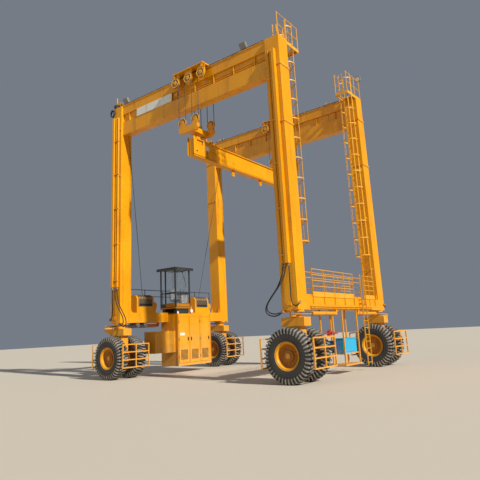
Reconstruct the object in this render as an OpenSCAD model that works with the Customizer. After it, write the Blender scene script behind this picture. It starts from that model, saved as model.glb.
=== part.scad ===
// Rubber tyred gantry crane, with its origin on the ground at the centre.
// X runs along the girders, Y along the sill beams from near to far, Z up.
// Every corner piece is drawn once, for the far right corner, and mirrored.

/* [Frame] */
// Width over the outer faces of the legs, along the girders
span_x = 10820; // [10000:10:13000]
// Length over the outer faces of the legs, along the sills
base_y = 8430; // [8200:10:10000]
// Width of a leg along the girders
leg_x = 700; // [640:10:760]
// Width of a leg along the sills
leg_y = 700; // [640:10:760]
// Height of the underside of the sill beams
sill_z = 2640; // [2600:10:2900]
// Depth of a sill beam
sill_h = 500; // [400:10:600]
// Height of the underside of the girders
girder_z = 12500; // [11800:10:14000]
// Depth of a girder
girder_h = 1700; // [1500:10:1900]
// Width of a girder's upper and lower boxes
girder_w = 460; // [400:10:520]
// Width of the recessed web between the boxes of a girder
web_w = 300; // [200:10:360]
// Height of the lower box of a girder
lower_box_h = 730; // [600:10:800]
// Height of the upper box of a girder
upper_box_h = 480; // [400:10:520]
// Width of the runway plate on top of a girder
runway_w = 520; // [460:10:560]
// Thickness of the runway plate
runway_t = 40; // [20:5:60]
// Height of the bolted joint in a leg
leg_joint_z = 10220; // [8000:10:11000]
// Height of the collar round the head of a leg
leg_collar_z = 12800; // [12000:10:13500]

/* [Wheels and bogies] */
// Diameter of a tyre
tyre_d = 2000; // [1800:10:2060]
// Width of a tyre
tyre_w = 560; // [480:10:600]
// Distance between the two wheels of a bogie, centre to centre
wheel_gap = 1160; // [1120:10:1240]
// Number of lugs in each of a tyre's two rows
lugs = 40; // [24:1:48]
// Depth of the grooves between the lugs
lug_depth = 60; // [30:5:70]
// Diameter of a rim at its flange
rim_d = 960; // [900:10:1000]
// Diameter of an axle
axle_d = 200; // [140:10:240]
// Width of a bogie column along the girders
column_x = 600; // [500:10:640]
// Width of a bogie column along the sills
column_y = 420; // [360:10:460]
// Distance of a wheel guard from the bogie's pin, along the girders
guard_x = 1125; // [1100:5:1160]
// Half the length of a wheel guard
guard_y = 830; // [760:10:860]
// Length of the steering lever, pin to pin
lever_r = 743; // [700:1:780]
// Angle of the steering lever from the sill's own direction
lever_deg = 23.2; // [20:0.1:26]
// Distance of a steering cylinder's fixed pin from the crane's middle
clevis_y = 1100; // [1000:10:1300]
// Diameter of a steering cylinder's barrel
barrel_d = 150; // [120:5:160]
// Diameter of a steering cylinder's rod
rod_d = 80; // [60:5:90]
// Distance from a steering cylinder's fixed pin to the mouth of its barrel
barrel_len = 2010; // [1900:10:2200]

/* [Trolleys and hoist] */
// Place of the trolleys along the girders
trolley_x = 380; // [-1500:10:1500]
// Length of a trolley
trolley_len = 1940; // [1900:10:2200]
// Radius of a sheave at the middle of its rope
sheave_r = 205; // [190:5:220]
// Diameter of a hoist rope
rope_d = 30; // [20:2:34]
// Distance of the sheaves from the middle of the girder
sheave_y = 550; // [530:10:600]
// Height of the trolley's sheaves
upper_sheave_z = 13870; // [13800:10:13900]
// Height of the hook block's sheaves
block_z = 11650; // [11200:10:11800]
// Half the length of the spreader beam
beam_half = 4300; // [4200:10:4400]
// Height of the underside of the spreader beam
beam_z = 9950; // [9900:10:10000]
// Depth of the spreader beam
beam_h = 880; // [860:10:900]
// Width of the spreader beam's flange and lower box
beam_w = 360; // [320:10:400]

/* [Cab and machinery] */
// Length of the power house along the sill
house_len = 2600; // [2400:10:2700]
// Place of the power house's middle along the sill
house_y = 370; // [350:10:400]
// How far the power house stands out from the sill
house_out = 710; // [600:10:760]
// Height of the bottom of the power house
house_z = 350; // [300:10:500]
// Height of the cab floor above the sill
cab_lift = 180; // [160:10:260]
// Width of the cab along the girders
cab_x = 1170; // [1100:10:1300]
// Length of the cab along the sill
cab_y = 1150; // [1100:10:1300]
// Height of the cab inside
cab_h = 2050; // [1950:10:2150]
// Thickness of the cab's posts
cab_post = 60; // [50:5:80]
// Length of a winch cover
winch_len = 1170; // [1000:10:1200]
// Width of a winch cover
winch_w = 600; // [500:10:640]
// Height of a winch cover
winch_h = 910; // [800:10:1000]

/* [Access] */
// Width of a ladder between its stiles
ladder_w = 430; // [380:10:460]
// Distance between rungs
rung_step = 300; // [250:10:320]
// Radius of a ladder's safety cage
cage_r = 350; // [340:5:380]
// Height of the railings
rail_h = 1110; // [1000:10:1200]
// Height of the toe boards on the walkway
toe_h = 200; // [100:10:240]

/* [Hidden] */

sill_top = sill_z + sill_h;
top_z = girder_z + girder_h;
leg_top = top_z - runway_t;
in_x = span_x / 2 - leg_x;
pin_x = span_x / 2 - leg_x / 2;
pin_y = base_y / 2 - leg_y / 2;
in_y = base_y / 2 - leg_y;
move_gap = 5;
fit_gap = 0.5;
seat_gap = 0.3;
plate_t = 30;
collar_out = 30;
collar_h = 70;
bearing_h = 40;
bearing_d = 700;
head_z = sill_z - bearing_h - seat_gap;
head_t = 35;
neck_d = 440;
cyl_z = sill_z - 140;
eye_h = 90;
eye_d = 130;
clevis_x = pin_x + lever_r * sin(lever_deg);
rod_end_y = pin_y + lever_r * cos(lever_deg);
lever_t = 40;
lever_gap = 30;
lever_z = cyl_z - eye_h / 2 - lever_gap - lever_t;
plate_z = top_z + 110;
cheek_y = sheave_y - 80;
cheek_bottom = upper_sheave_z - 270;
sheave_w = 70;
sheave_rim = sheave_r + 35;
groove_r = sheave_r - rope_d / 2;
tow_y = 60;
tow_z = top_z + 50;
tow_d = 24;
ear_z = beam_z + beam_h + 100;
cab_z = sill_top + cab_lift;
cab_x1 = -in_x + house_out - 50;
cab_x0 = cab_x1 - cab_x;
cab_y0 = -1000;
orange = "#f2a31b";
dark = "#3b3f45";

// Helpers

module corner(side_x, side_y) {
    mirror([side_x < 0 ? 1 : 0, 0, 0])
        mirror([0, side_y < 0 ? 1 : 0, 0])
            children();
}

module block(x0, x1, y0, y1, z0, z1) {
    translate([x0, y0, z0])
        cube([x1 - x0, y1 - y0, z1 - z0]);
}

module bar(from, to, d, sides = 8) {
    way = to - from;
    len = norm(way);
    translate(from)
        rotate([0, acos(way[2] / len), atan2(way[1], way[0])])
            cylinder(d = d, h = len, $fn = sides);
}

module rod_y(x, y0, y1, z, d, sides = 48) {
    translate([x, y0, z])
        rotate([-90, 0, 0])
            cylinder(d = d, h = y1 - y0, $fn = sides);
}

// Frame

module leg() {
    color(orange) {
        block(in_x, span_x / 2, in_y, base_y / 2, sill_top, leg_top);
        block(in_x, span_x / 2, in_y - 120, base_y / 2, sill_top, sill_top + plate_t);
        leg_gussets();
        for (z = [leg_joint_z, leg_collar_z])
            leg_collar(z);
        leg_conduits();
    }
}

module leg_gussets() {
    for (x = [in_x + 60, span_x / 2 - 60 - plate_t])
        translate([x, in_y, sill_top + plate_t])
            rotate([90, 0, 90])
                linear_extrude(plate_t)
                    polygon([[0, 0], [-110, 0], [0, 300]]);
}

// The collar leaves the inner face free, where the girder butts
module leg_collar(z) {
    block(in_x, span_x / 2 + collar_out, in_y - collar_out, base_y / 2 + collar_out,
        z - collar_h / 2, z + collar_h / 2);
}

conduit_d = 110;
conduit_z0 = sill_top + 1260;
conduit_z1 = leg_top - 660;
channel_w = 130;
channel_t = 180;
clamp_step = 1860;

module leg_conduits() {
    for (x = [pin_x - 185, pin_x - 55])
        translate([x, base_y / 2 + conduit_d / 2 - 5, conduit_z0])
            cylinder(d = conduit_d, h = conduit_z1 - conduit_z0, $fn = 32);
    block(pin_x + 40, pin_x + 40 + channel_w, base_y / 2, base_y / 2 + channel_t,
        conduit_z0, conduit_z1);
    for (z = [conduit_z0 + 300 : clamp_step : conduit_z1])
        block(pin_x - 260, pin_x + 40, base_y / 2, base_y / 2 + conduit_d + 20, z, z + 50);
}

module girder() {
    color(orange) {
        block(-in_x, in_x, pin_y - girder_w / 2, pin_y + girder_w / 2,
            girder_z, girder_z + lower_box_h);
        block(-in_x, in_x, pin_y - web_w / 2, pin_y + web_w / 2,
            girder_z + lower_box_h, leg_top - upper_box_h);
        block(-in_x, in_x, pin_y - girder_w / 2, pin_y + girder_w / 2,
            leg_top - upper_box_h, leg_top);
        block(-span_x / 2, span_x / 2, pin_y - runway_w / 2, pin_y + runway_w / 2,
            leg_top, top_z);
        girder_ribs();
        for (side = [-1, 1])
            rope_bracket(side * pin_x);
        head_sheave();
        web_pipes();
    }
}

rib_step = 1180;

module girder_ribs() {
    for (x = [-in_x + 500 : rib_step : in_x - 100])
        block(x, x + 20, pin_y - girder_w / 2, pin_y + girder_w / 2,
            girder_z + lower_box_h, leg_top - upper_box_h);
}

module rope_bracket(x) {
    block(x - 40, x + 40, pin_y - 110, pin_y + 110, top_z, tow_z + tow_d / 2 + 15);
}

head_x = span_x / 2 - 40;
head_r = 210;

// Rope sheave between two plates, beyond the left end of the runway
module head_sheave() {
    for (y = [pin_y - 75, pin_y + 55])
        translate([-head_x - 260, y, leg_top])
            cube([520, 20, 460]);
    translate([-head_x, pin_y, top_z + 230])
        sheave(head_r);
    block(-head_x - 260, -head_x - 220, pin_y - 75, pin_y + 75, leg_top - 300, leg_top);
    block(-head_x - 260, -span_x / 2, pin_y - 75, pin_y + 75, leg_top - 60, top_z);
    translate([-head_x - 200, pin_y - 65, leg_top + 460])
        cylinder(d = 60, h = 420, $fn = 24);
}

// Two pipes clipped into the recess of the web, on the outer side
module web_pipes() {
    y = pin_y + web_w / 2 + web_pipe_d / 2 + 8;
    for (z = [web_z + 90, web_z + 210]) {
        translate([-trolley_len / 2, y, z])
            rotate([0, 90, 0])
                cylinder(d = web_pipe_d, h = in_x + trolley_len / 2 - 60, $fn = 24);
    }
    for (x = [-trolley_len / 2 + 120 : 1180 : in_x - 100])
        block(x, x + 40, pin_y + web_w / 2, y, web_z + 50, web_z + 250);
}

web_z = girder_z + lower_box_h;
web_pipe_d = 36;
board_x0 = -3590;
board_x1 = -1010;
board_t = 25;

// Board without lettering, in the recess of the near girder's web
module blank_board() {
    y = -pin_y - girder_w / 2 - 2;
    color("#d9dde0") {
        block(board_x0, board_x1, y - board_t, y, web_z + 10, web_z + 440);
        for (x = [board_x0 + 200, board_x1 - 240])
            block(x, x + 40, y - 1, -pin_y - web_w / 2, web_z + 60, web_z + 390);
    }
}

lamp_w = 300;
lamp_h = 240;
lamp_tilt = 35;

// Floodlight with a framed lens, cooling fins and a yoke on a short post
module floodlight(x, y, z, post) {
    color("#d8d8d0") {
        translate([x, y, z])
            cylinder(d = 50, h = post + 60, $fn = 24);
        translate([x, y, z + post + 130])
            rotate([lamp_tilt, 0, 0]) {
                cube([lamp_w, 150, lamp_h], center = true);
                translate([0, -80, 0])
                    cube([lamp_w + 30, 20, lamp_h + 30], center = true);
                for (k = [-2 : 2])
                    translate([k * 50, 90, 0])
                        cube([12, 50, lamp_h - 60], center = true);
            }
    }
}

module floodlights() {
    edge = pin_y + runway_w / 2 - 40;
    for (side = [-1, 1]) {
        floodlight(-in_x + 260, side * edge, top_z, 120);
        floodlight(in_x - 1210, side * edge, top_z, 120);
    }
    floodlight(span_x / 2 - 20, base_y / 2 - 30, deck_z + deck_t + rail_h, 60);
}

lip_t = 20;
clevis_w = 120;
clevis_pin_d = 50;
pipe_d = 50;

module sill() {
    color(orange) {
        block(in_x, span_x / 2, -base_y / 2, base_y / 2, sill_z, sill_top);
        for (side_y = [-1, 1]) {
            translate([pin_x, side_y * pin_y, sill_z - bearing_h])
                cylinder(d = bearing_d, h = bearing_h + 1, $fn = 64);
            translate([pin_x, side_y * (base_y / 2 + 60), sill_z + sill_h / 2])
                cube([160, 120, 160], center = true);
            clevis(side_y);
            glands(side_y);
        }
        sill_pipes();
    }
}

// Fixed pin of a steering cylinder, hung under the sill
module clevis(side_y) {
    block(clevis_x - clevis_w / 2, clevis_x + clevis_w / 2,
        side_y * clevis_y - clevis_w / 2, side_y * clevis_y + clevis_w / 2,
        cyl_z + eye_h / 2 + move_gap, sill_z);
    translate([clevis_x, side_y * clevis_y, cyl_z - eye_h / 2 - seat_gap - 20])
        cylinder(d = clevis_pin_d, h = eye_h + 40, $fn = 32);
    translate([clevis_x, side_y * clevis_y, cyl_z - eye_h / 2 - seat_gap - 20])
        cylinder(d = 90, h = 20, $fn = 32);
}

// Glands that take the hoses of one corner
module glands(side_y) {
    for (end = [loop_ends[0], loop_ends[1]])
        translate([end[0], side_y * end[1], end[2]])
            rotate([0, 90, 0])
                cylinder(d = gland_d, h = 60, $fn = 32);
    block(loop_ends[0][0] + 20, loop_ends[0][0] + 50,
        side_y > 0 ? loop_ends[0][1] - 35 : -loop_ends[1][1] - 35,
        side_y > 0 ? loop_ends[1][1] + 35 : -loop_ends[0][1] + 35, loop_ends[0][2] - 30, sill_z);
    translate([drop_end[0], side_y * drop_end[1] - (side_y > 0 ? 60 : 0), drop_end[2]])
        rotate([-90, 0, 0])
            cylinder(d = gland_d, h = 60, $fn = 32);
    block(span_x / 2, drop_end[0] + 20, side_y * (drop_end[1] - 30) - 25,
        side_y * (drop_end[1] - 30) + 25, drop_end[2] - 25, drop_end[2] + 25);
}

// Two pipes clipped along the outer face, low down
module sill_pipes() {
    for (z = [sill_z + 60, sill_z + 130]) {
        rod_y(span_x / 2 + pipe_d / 2 + 10, -in_y + 200, in_y - 900, z, pipe_d, 24);
        for (y = [-in_y + 400 : 1150 : in_y - 900])
            block(span_x / 2, span_x / 2 + 20, y, y + 40, z - 20, z + 20);
    }
}

// Bogie, which turns on a ring under the end of the sill

head_box_w = 1000;

module bogie(arm) {
    translate([pin_x, pin_y, 0])
        color(orange) {
            translate([0, 0, head_z - head_t])
                cylinder(d = bearing_d, h = head_t, $fn = 64);
            translate([0, 0, lever_z - 1])
                cylinder(d = neck_d, h = head_z - head_t - lever_z + 2, $fn = 64);
            block(-column_x / 2, column_x / 2, -column_y / 2, column_y / 2,
                tyre_d / 2 - 300, lever_z);
            lever();
            block(-head_box_w / 2, head_box_w / 2, -column_y / 2 - 40, column_y / 2 + 40,
                tyre_d + 40, lever_z - 20);
            if (arm)
                outer_arm();
            for (side = [-1, 1]) {
                wheel_axle(side);
                wheel_guard(side);
            }
        }
}

module lever() {
    way = 90 - lever_deg;
    rotate([0, 0, way])
        translate([0, -80, lever_z])
            cube([lever_r, 160, lever_t]);
    rotate([0, 0, way])
        translate([lever_r, 0, lever_z])
            cylinder(d = 160, h = lever_t, $fn = 48);
}

hub_out = 140;

module wheel_axle(side) {
    y0 = column_y / 2 - 1;
    y1 = wheel_gap / 2 + hub_out + 20;
    rotate([0, 0, side > 0 ? 0 : 180])
        rod_y(0, y0, y1, tyre_d / 2, axle_d);
}

arm_t = 300;

// Arm with a sloped underside, on the outer side of a left bogie
module outer_arm() {
    translate([0, arm_t / 2, 0])
        rotate([90, 0, 0])
            linear_extrude(arm_t)
                polygon([[head_box_w / 2 - 1, tyre_d + 60], [guard_x - 25, lever_z - 110],
                    [guard_x + 25, lever_z - 110], [guard_x + 25, lever_z - 30],
                    [head_box_w / 2 - 1, lever_z - 30]]);
}

guard_z0 = 540;
guard_z1 = 1640;
guard_bar = 50;
stay_y = 130;
stay_z = guard_z0 + 2 * (guard_z1 - guard_z0 - guard_bar) / 3 + 5;

module wheel_guard(side) {
    x0 = side * guard_x - guard_bar / 2;
    x1 = side * guard_x + guard_bar / 2;
    for (k = [0 : 3]) {
        z = guard_z0 + k * (guard_z1 - guard_z0 - guard_bar) / 3;
        block(x0, x1, -guard_y, guard_y, z, z + guard_bar);
    }
    for (y = [-guard_y, -guard_bar / 2, guard_y - guard_bar])
        block(x0, x1, y, y + guard_bar, guard_z0, guard_z1);
    inner = side * (column_x / 2 - 1);
    for (y = [-stay_y, stay_y])
        block(min(inner, x0 + 1), max(inner, x1 - 1), y - guard_bar / 2, y + guard_bar / 2,
            stay_z, stay_z + guard_bar - 10);
}

// Wheel, with its outer side towards +Y

module wheel() {
    color(dark)
        rotate([-90, 0, 0])
            difference() {
                wheel_body();
                for (row = [0, 1])
                    mirror([0, 0, row])
                        for (k = [0 : lugs - 1])
                            rotate([0, 0, (k + row / 2) * 360 / lugs])
                                tyre_groove();
            }
}

// Tyre, dished rim and hub in one turned profile
module wheel_body() {
    half = tyre_w / 2;
    top = tyre_d / 2;
    rim = rim_d / 2;
    bore = axle_d / 2 + fit_gap;
    rotate_extrude($fn = 96)
        polygon([[bore, -half + 40], [230, -half + 40], [265, -half + 160],
            [rim - 60, -half + 130], [rim - 10, -half + 65], [rim + 30, -half + 48],
            [top - 280, -half], [top - 90, -half + 6], [top - 20, -half + 40],
            [top, -half + 100], [top, half - 100], [top - 20, half - 40],
            [top - 90, half - 6], [top - 280, half],
            [rim + 30, half - 48], [rim, half - 45], [rim - 18, half - 65],
            [rim - 32, half - 160], [rim - 65, half - 215], [320, half - 245],
            [250, half - 235], [215, hub_out - 40], [185, hub_out], [bore, hub_out]]);
}

// Groove between two lugs, deep under the tread and running out down the shoulder
module tyre_groove() {
    half = tyre_w / 2;
    top = tyre_d / 2;
    groove = 3.1 * top / lugs / 1.4;
    translate([0, groove / 2, 0])
        rotate([90, 0, 0])
            linear_extrude(groove)
                polygon([[top + 5, 25], [top + 5, half + 5], [top - 190, half + 5],
                    [top - 150, half - 16], [top - lug_depth - 5, half - 80],
                    [top - lug_depth, 25]]);
}

module corner_wheel(side_x, side_y, row) {
    corner(side_x, side_y)
        translate([pin_x, pin_y + row * wheel_gap / 2, tyre_d / 2])
            mirror([0, row < 0 ? 1 : 0, 0])
                wheel();
}

// Steering cylinder, along the sill with its rod run out

module steer_barrel() {
    color(orange)
        difference() {
            union() {
                rod_y(clevis_x, clevis_y + 90, clevis_y + barrel_len, cyl_z, barrel_d);
                block(clevis_x - 35, clevis_x + 35, clevis_y, clevis_y + 120,
                    cyl_z - 35, cyl_z + 35);
                translate([clevis_x, clevis_y, cyl_z - eye_h / 2])
                    cylinder(d = eye_d, h = eye_h, $fn = 48);
            }
            translate([clevis_x, clevis_y, cyl_z - eye_h])
                cylinder(d = clevis_pin_d + 2 * fit_gap, h = 2 * eye_h, $fn = 32);
            rod_y(clevis_x, clevis_y + 160, clevis_y + barrel_len + 10, cyl_z,
                rod_d + 2 * fit_gap);
        }
}

rod_in = 300;

module steer_rod() {
    color("#c9ccd0")
        difference() {
            union() {
                rod_y(clevis_x, clevis_y + barrel_len - rod_in, rod_end_y - 30, cyl_z, rod_d);
                translate([clevis_x, rod_end_y, cyl_z - eye_h / 2])
                    cylinder(d = eye_d, h = eye_h, $fn = 48);
            }
            translate([clevis_x, rod_end_y, cyl_z - eye_h])
                cylinder(d = clevis_pin_d, h = 2 * eye_h, $fn = 32);
        }
}

// Sheave with a rope groove, its axle along Y
module sheave(r) {
    rim = r + 35;
    groove = r - rope_d / 2;
    rotate([90, 0, 0])
        rotate_extrude($fn = 64)
            polygon([[0, -sheave_w / 2], [rim, -sheave_w / 2], [rim, -rope_d / 2 - 6],
                [groove, -rope_d / 2 - 2], [groove, rope_d / 2 + 2], [rim, rope_d / 2 + 6],
                [rim, sheave_w / 2], [0, sheave_w / 2]]);
}

// Trolley

module trolley() {
    translate([trolley_x, pin_y, 0])
        color(orange) {
            block(-trolley_len / 2, trolley_len / 2, -sheave_y - 50, sheave_y + 50,
                plate_z, plate_z + 40);
            for (side = [-1, 1]) {
                trolley_cheek(side);
                for (k = [-1 : 1])
                    translate([k * 4 * sheave_r, side * sheave_y, upper_sheave_z])
                        sheave(sheave_r);
                for (k = [-1 : 1])
                    rotate([0, 0, side > 0 ? 0 : 180])
                        rod_y(k * 4 * sheave_r, cheek_y + plate_t - 1, sheave_y,
                            upper_sheave_z, 90);
                for (k = [-1 : 1])
                    rotate([0, 0, side > 0 ? 0 : 180])
                        rod_y(k * 4 * sheave_r, sheave_y, sheave_y + sheave_w / 2 + 15,
                            upper_sheave_z, 160);
                for (x = [-700, 700])
                    roller(x, side);
                rope_socket(side);
            }
            for (x = [-trolley_len / 2 + 20, 0, trolley_len / 2 - 60])
                block(x, x + 40, -sheave_y - 20, sheave_y + 20, plate_z + 39, plate_z + 90);
        }
}

// Wedge sockets that hold the ends of the hoist rope, over the outer sheaves
module rope_socket(side) {
    for (end = [-1, 1])
        block(end * (4 * sheave_r + 60) - 50, end * (4 * sheave_r + 60) + 50,
            side * sheave_y - 30, side * sheave_y + 30,
            upper_sheave_z + sheave_rim + 20, plate_z + 1);
}

module trolley_cheek(side) {
    half = sheave_r + 15;
    rotate([0, 0, side > 0 ? 0 : 180])
        for (k = [-1 : 1])
            translate([k * 4 * sheave_r, cheek_y + plate_t, 0])
                rotate([90, 0, 0])
                    linear_extrude(plate_t)
                        polygon([[-half, plate_z + 1], [-half, upper_sheave_z - 80],
                            [-half + 120, cheek_bottom], [half - 120, cheek_bottom],
                            [half, upper_sheave_z - 80], [half, plate_z + 1]]);
}

roller_d = 90;

module roller(x, side) {
    translate([x, side * (runway_w / 2 - 70), top_z + seat_gap + roller_d / 2])
        rotate([90, 0, 0])
            cylinder(d = roller_d, h = 60, center = true, $fn = 32);
    block(x - 25, x + 25, side * (runway_w / 2 - 70) - 25, side * (runway_w / 2 - 70) + 25,
        top_z + seat_gap + roller_d / 2, plate_z);
}

module hoist_ropes() {
    color(dark)
        for (side = [-1, 1])
            for (k = [-3 : 2 : 3])
                translate([trolley_x + k * sheave_r, pin_y + side * sheave_y, block_z])
                    cylinder(d = rope_d, h = upper_sheave_z - block_z, $fn = 16);
}

// Hook block with four sheaves, a crosshead and a lug

bar_x = 2 * sheave_r + 170;
bar_top = block_z - sheave_rim - 20;
bar_h = 300;
lug_t = 60;
lug_pin_d = 70;
pin_gap = 6;

module hook_block() {
    translate([trolley_x, pin_y, 0])
        color(orange)
            difference() {
                union() {
                    block(-230, 230, -sheave_y, sheave_y, bar_top - bar_h + 40, bar_top - 30);
                    for (side = [-1, 1])
                        block_side(side);
                    translate([0, 0, ear_z + 140])
                        cylinder(d = 280, h = bar_top - bar_h + 41 - ear_z - 140, $fn = 48);
                    block(-lug_t / 2, lug_t / 2, -120, 120, ear_z - 80, ear_z + 141);
                }
                translate([0, 0, ear_z])
                    rotate([0, 90, 0])
                        cylinder(d = lug_pin_d + 2 * pin_gap, h = 300, center = true, $fn = 48);
            }
}

// One side of the crosshead, with two sheaves between their cheeks
module block_side(side) {
    y = side * sheave_y;
    half = 90;
    cut = 110;
    translate([0, y + half, 0])
        rotate([90, 0, 0])
            linear_extrude(2 * half)
                polygon([[-bar_x, bar_top], [-bar_x, bar_top - bar_h + cut],
                    [-bar_x + cut, bar_top - bar_h], [bar_x - cut, bar_top - bar_h],
                    [bar_x, bar_top - bar_h + cut], [bar_x, bar_top]]);
    for (k = [-1, 1])
        translate([k * 2 * sheave_r, y, block_z]) {
            sheave(sheave_r);
            for (c = [-1, 1])
                translate([0, c * (sheave_w / 2 + 12) + 8, 0])
                    rotate([90, 0, 0])
                        block_cheek();
            rotate([90, 0, 0])
                cylinder(d = 90, h = sheave_w + 70, center = true, $fn = 32);
        }
}

// Cheek with a round head that narrows down to the crosshead
module block_cheek() {
    foot = bar_top - block_z - 1;
    linear_extrude(16)
        union() {
            circle(r = 130, $fn = 48);
            polygon([[-130, 0], [130, 0], [170, foot], [-170, foot]]);
        }
}

module spreader_beam() {
    web = beam_w - 130;
    flange = 40;
    lower = 400;
    translate([trolley_x, 0, 0])
        color(orange) {
            block(-web / 2, web / 2, -beam_half, beam_half, beam_z, beam_z + beam_h - flange);
            block(-beam_w / 2, beam_w / 2, -beam_half, beam_half,
                beam_z + beam_h - flange, beam_z + beam_h);
            block(-beam_w / 2, beam_w / 2, -beam_half + 1000, beam_half - 1000,
                beam_z + 60, beam_z + lower);
            block(-beam_w / 2, beam_w / 2, -beam_half, beam_half, beam_z, beam_z + flange);
            for (side = [-1, 1])
                beam_end(side);
        }
}

end_plate_len = 780;
end_hole = 90;

// Side plate of a beam end, with two ears, a notch between them and a hole
module end_plate() {
    y0 = beam_half - end_plate_len;
    z0 = beam_z + 60;
    z1 = beam_z + beam_h + 70;
    rotate([90, 0, 90])
        linear_extrude(20)
            difference() {
                polygon([[y0, z0 + 120], [y0 + 60, z0], [beam_half + 40, z0], [beam_half + 40, z1],
                    [beam_half - 60, z1], [beam_half - 310, z1 - 330], [y0 + 200, z1 - 330],
                    [y0 + 100, z1], [y0, z1]]);
                translate([beam_half - 180, z0 + 190])
                    circle(d = end_hole, $fn = 48);
            }
}

lift_y = 1200;
lift_t = 60;
lift_h = 300;
lift_d = 70;

module beam_end(side) {
    for (c = [-1, 1])
        block(c * (lug_t / 2 + pin_gap + 20) - 20, c * (lug_t / 2 + pin_gap + 20) + 20,
            side * pin_y - 130, side * pin_y + 130, beam_z + beam_h - 1, ear_z + 70);
    translate([0, side * pin_y, ear_z - (side < 0 ? pin_gap : 0)])
        rotate([0, 90, 0])
            cylinder(d = lug_pin_d, h = 2 * (lug_t / 2 + pin_gap + 50), center = true, $fn = 48);
    for (c = [-1, 1])
        translate([c * (beam_w / 2 + 10) - 10, 0, 0])
            mirror([0, side < 0 ? 1 : 0, 0])
                end_plate();
    difference() {
        block(-lift_t / 2, lift_t / 2, side * lift_y - 90, side * lift_y + 90,
            beam_z - lift_h, beam_z);
        translate([0, side * lift_y, beam_z - lift_h + 90])
            rotate([0, 90, 0])
                cylinder(d = lift_d, h = lift_t + 20, center = true, $fn = 48);
    }
}

// Ropes that run along the girders and down to the winches

winch_y = [-2505, 1900];
rope_seat = 3.5;

module fixed_ropes() {
    color(dark)
        for (side = [-1, 1]) {
            for (c = [-1, 1])
                translate([-pin_x + 40, side * pin_y + c * tow_y, tow_z])
                    rotate([0, 90, 0])
                        cylinder(d = tow_d, h = 2 * pin_x - 80, $fn = 16);
            bar([-in_x + 190, side * pin_y, girder_z - rope_seat],
                [-pin_x + 60, winch_y[side > 0 ? 1 : 0], sill_top + winch_h + rope_seat],
                rope_d, 16);
        }
}

// Caged ladder on the inner side of a right leg, with its top platform

stile = 50;
rung_d = 28;
rung_y = in_y - 150;
hoop_y = rung_y - sqrt(pow(cage_r, 2) - pow(ladder_w / 2, 2));
hoop_z = sill_top + 2180;
ladder_top = top_z + 1100;
cage_t = 15;
hoop_h = 50;
hoop_step = 880;
deck_t = 40;
tie_step = 3 * hoop_step;
deck_y = 1000;
deck_z = leg_top - deck_t - 20;

module caged_ladder() {
    color(orange) {
        for (side = [-1, 1])
            block(pin_x + side * ladder_w / 2 - 12, pin_x + side * ladder_w / 2 + 12,
                rung_y - stile / 2, rung_y + stile / 2, sill_top, ladder_top);
        for (z = [sill_top + rung_step : rung_step : top_z])
            bar([pin_x - ladder_w / 2, rung_y, z], [pin_x + ladder_w / 2, rung_y, z], rung_d);
        for (z = [hoop_z : hoop_step : ladder_top - hoop_h])
            hoop(z);
        cage_straps();
        for (z = [sill_top + 1500 : tie_step : top_z - 600])
            for (side = [-1, 1])
                block(pin_x + side * ladder_w / 2 - 12, pin_x + side * ladder_w / 2 + 12,
                    rung_y, in_y, z, z + 60);
        top_platform();
    }
}

module hoop(z) {
    translate([pin_x, hoop_y, z])
        linear_extrude(hoop_h)
            difference() {
                circle(r = cage_r + cage_t, $fn = 64);
                circle(r = cage_r, $fn = 64);
                translate([-2 * cage_r, rung_y - hoop_y + 10])
                    square([4 * cage_r, cage_r]);
            }
}

module cage_straps() {
    for (way = [195 : 37.5 : 345])
        translate([pin_x, hoop_y, hoop_z])
            rotate([0, 0, way])
                translate([cage_r - 2, -20, 0])
                    cube([12, 40, ladder_top - hoop_z]);
}

module top_platform() {
    difference() {
        union() {
            block(in_x, span_x / 2, in_y - deck_y, in_y, deck_z, deck_z + deck_t);
            block(span_x / 2 - 30, span_x / 2, in_y - deck_y, in_y, deck_z - 110, deck_z + 1);
            block(in_x, in_x + 30, in_y - deck_y, in_y, deck_z - 110, deck_z + 1);
            block(in_x, span_x / 2, in_y - deck_y, in_y - deck_y + 30, deck_z - 110, deck_z + 1);
        }
        block(pin_x - ladder_w / 2 - 60, pin_x + ladder_w / 2 + 60,
            rung_y - 2 * cage_r + 40, rung_y - stile, deck_z - 10, deck_z + deck_t + 10);
    }
    for (x = [in_x + 20, span_x / 2 - 20])
        for (y = [in_y - deck_y + 20, in_y - 20])
            bar([x, y, deck_z + 10], [x, y, deck_z + deck_t + rail_h], 40);
    for (z = [deck_z + rail_h / 2, deck_z + deck_t + rail_h - 20]) {
        bar([in_x + 20, in_y - deck_y + 20, z], [in_x + 20, in_y - 20, z], 36);
        bar([span_x / 2 - 20, in_y - deck_y + 20, z], [span_x / 2 - 20, base_y / 2 - 30, z], 36);
    }
    bar([span_x / 2 - 20, base_y / 2 - 30, leg_top],
        [span_x / 2 - 20, base_y / 2 - 30, deck_z + deck_t + rail_h], 40);
}

// Walkway rails and toe boards on top of the right sill

gate_y0 = 720;
gate_y1 = 1780;
post_step = 1250;
post_d = 44;
clip_drop = 290;
rail_d = 34;

module walkway_right() {
    color(orange) {
        rail_run(span_x / 2 + post_d / 2, -in_y + 440, gate_y0, clip_drop);
        rail_run(span_x / 2 + post_d / 2, gate_y1, in_y - 440, clip_drop);
        rail_run(in_x + 30, -in_y + 440, in_y - 440, 0);
    }
}

// Toe board, posts and four rails, the posts running down past the sill's top
module rail_run(x, y0, y1, drop) {
    block(x - 8, x + 8, y0, y1, sill_top, sill_top + toe_h);
    count = ceil((y1 - y0) / post_step);
    for (k = [0 : count]) {
        y = y0 + 22 + k * (y1 - y0 - 44) / count;
        block(x - post_d / 2, x + post_d / 2, y - 8, y + 8, sill_top - drop, sill_top + rail_h);
    }
    for (k = [0 : 3])
        rod_y(x, y0, y1, sill_top + rail_h - 20 - k * 225, rail_d, 24);
}

ladder_y = (gate_y0 + gate_y1) / 2 + 170;

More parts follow.
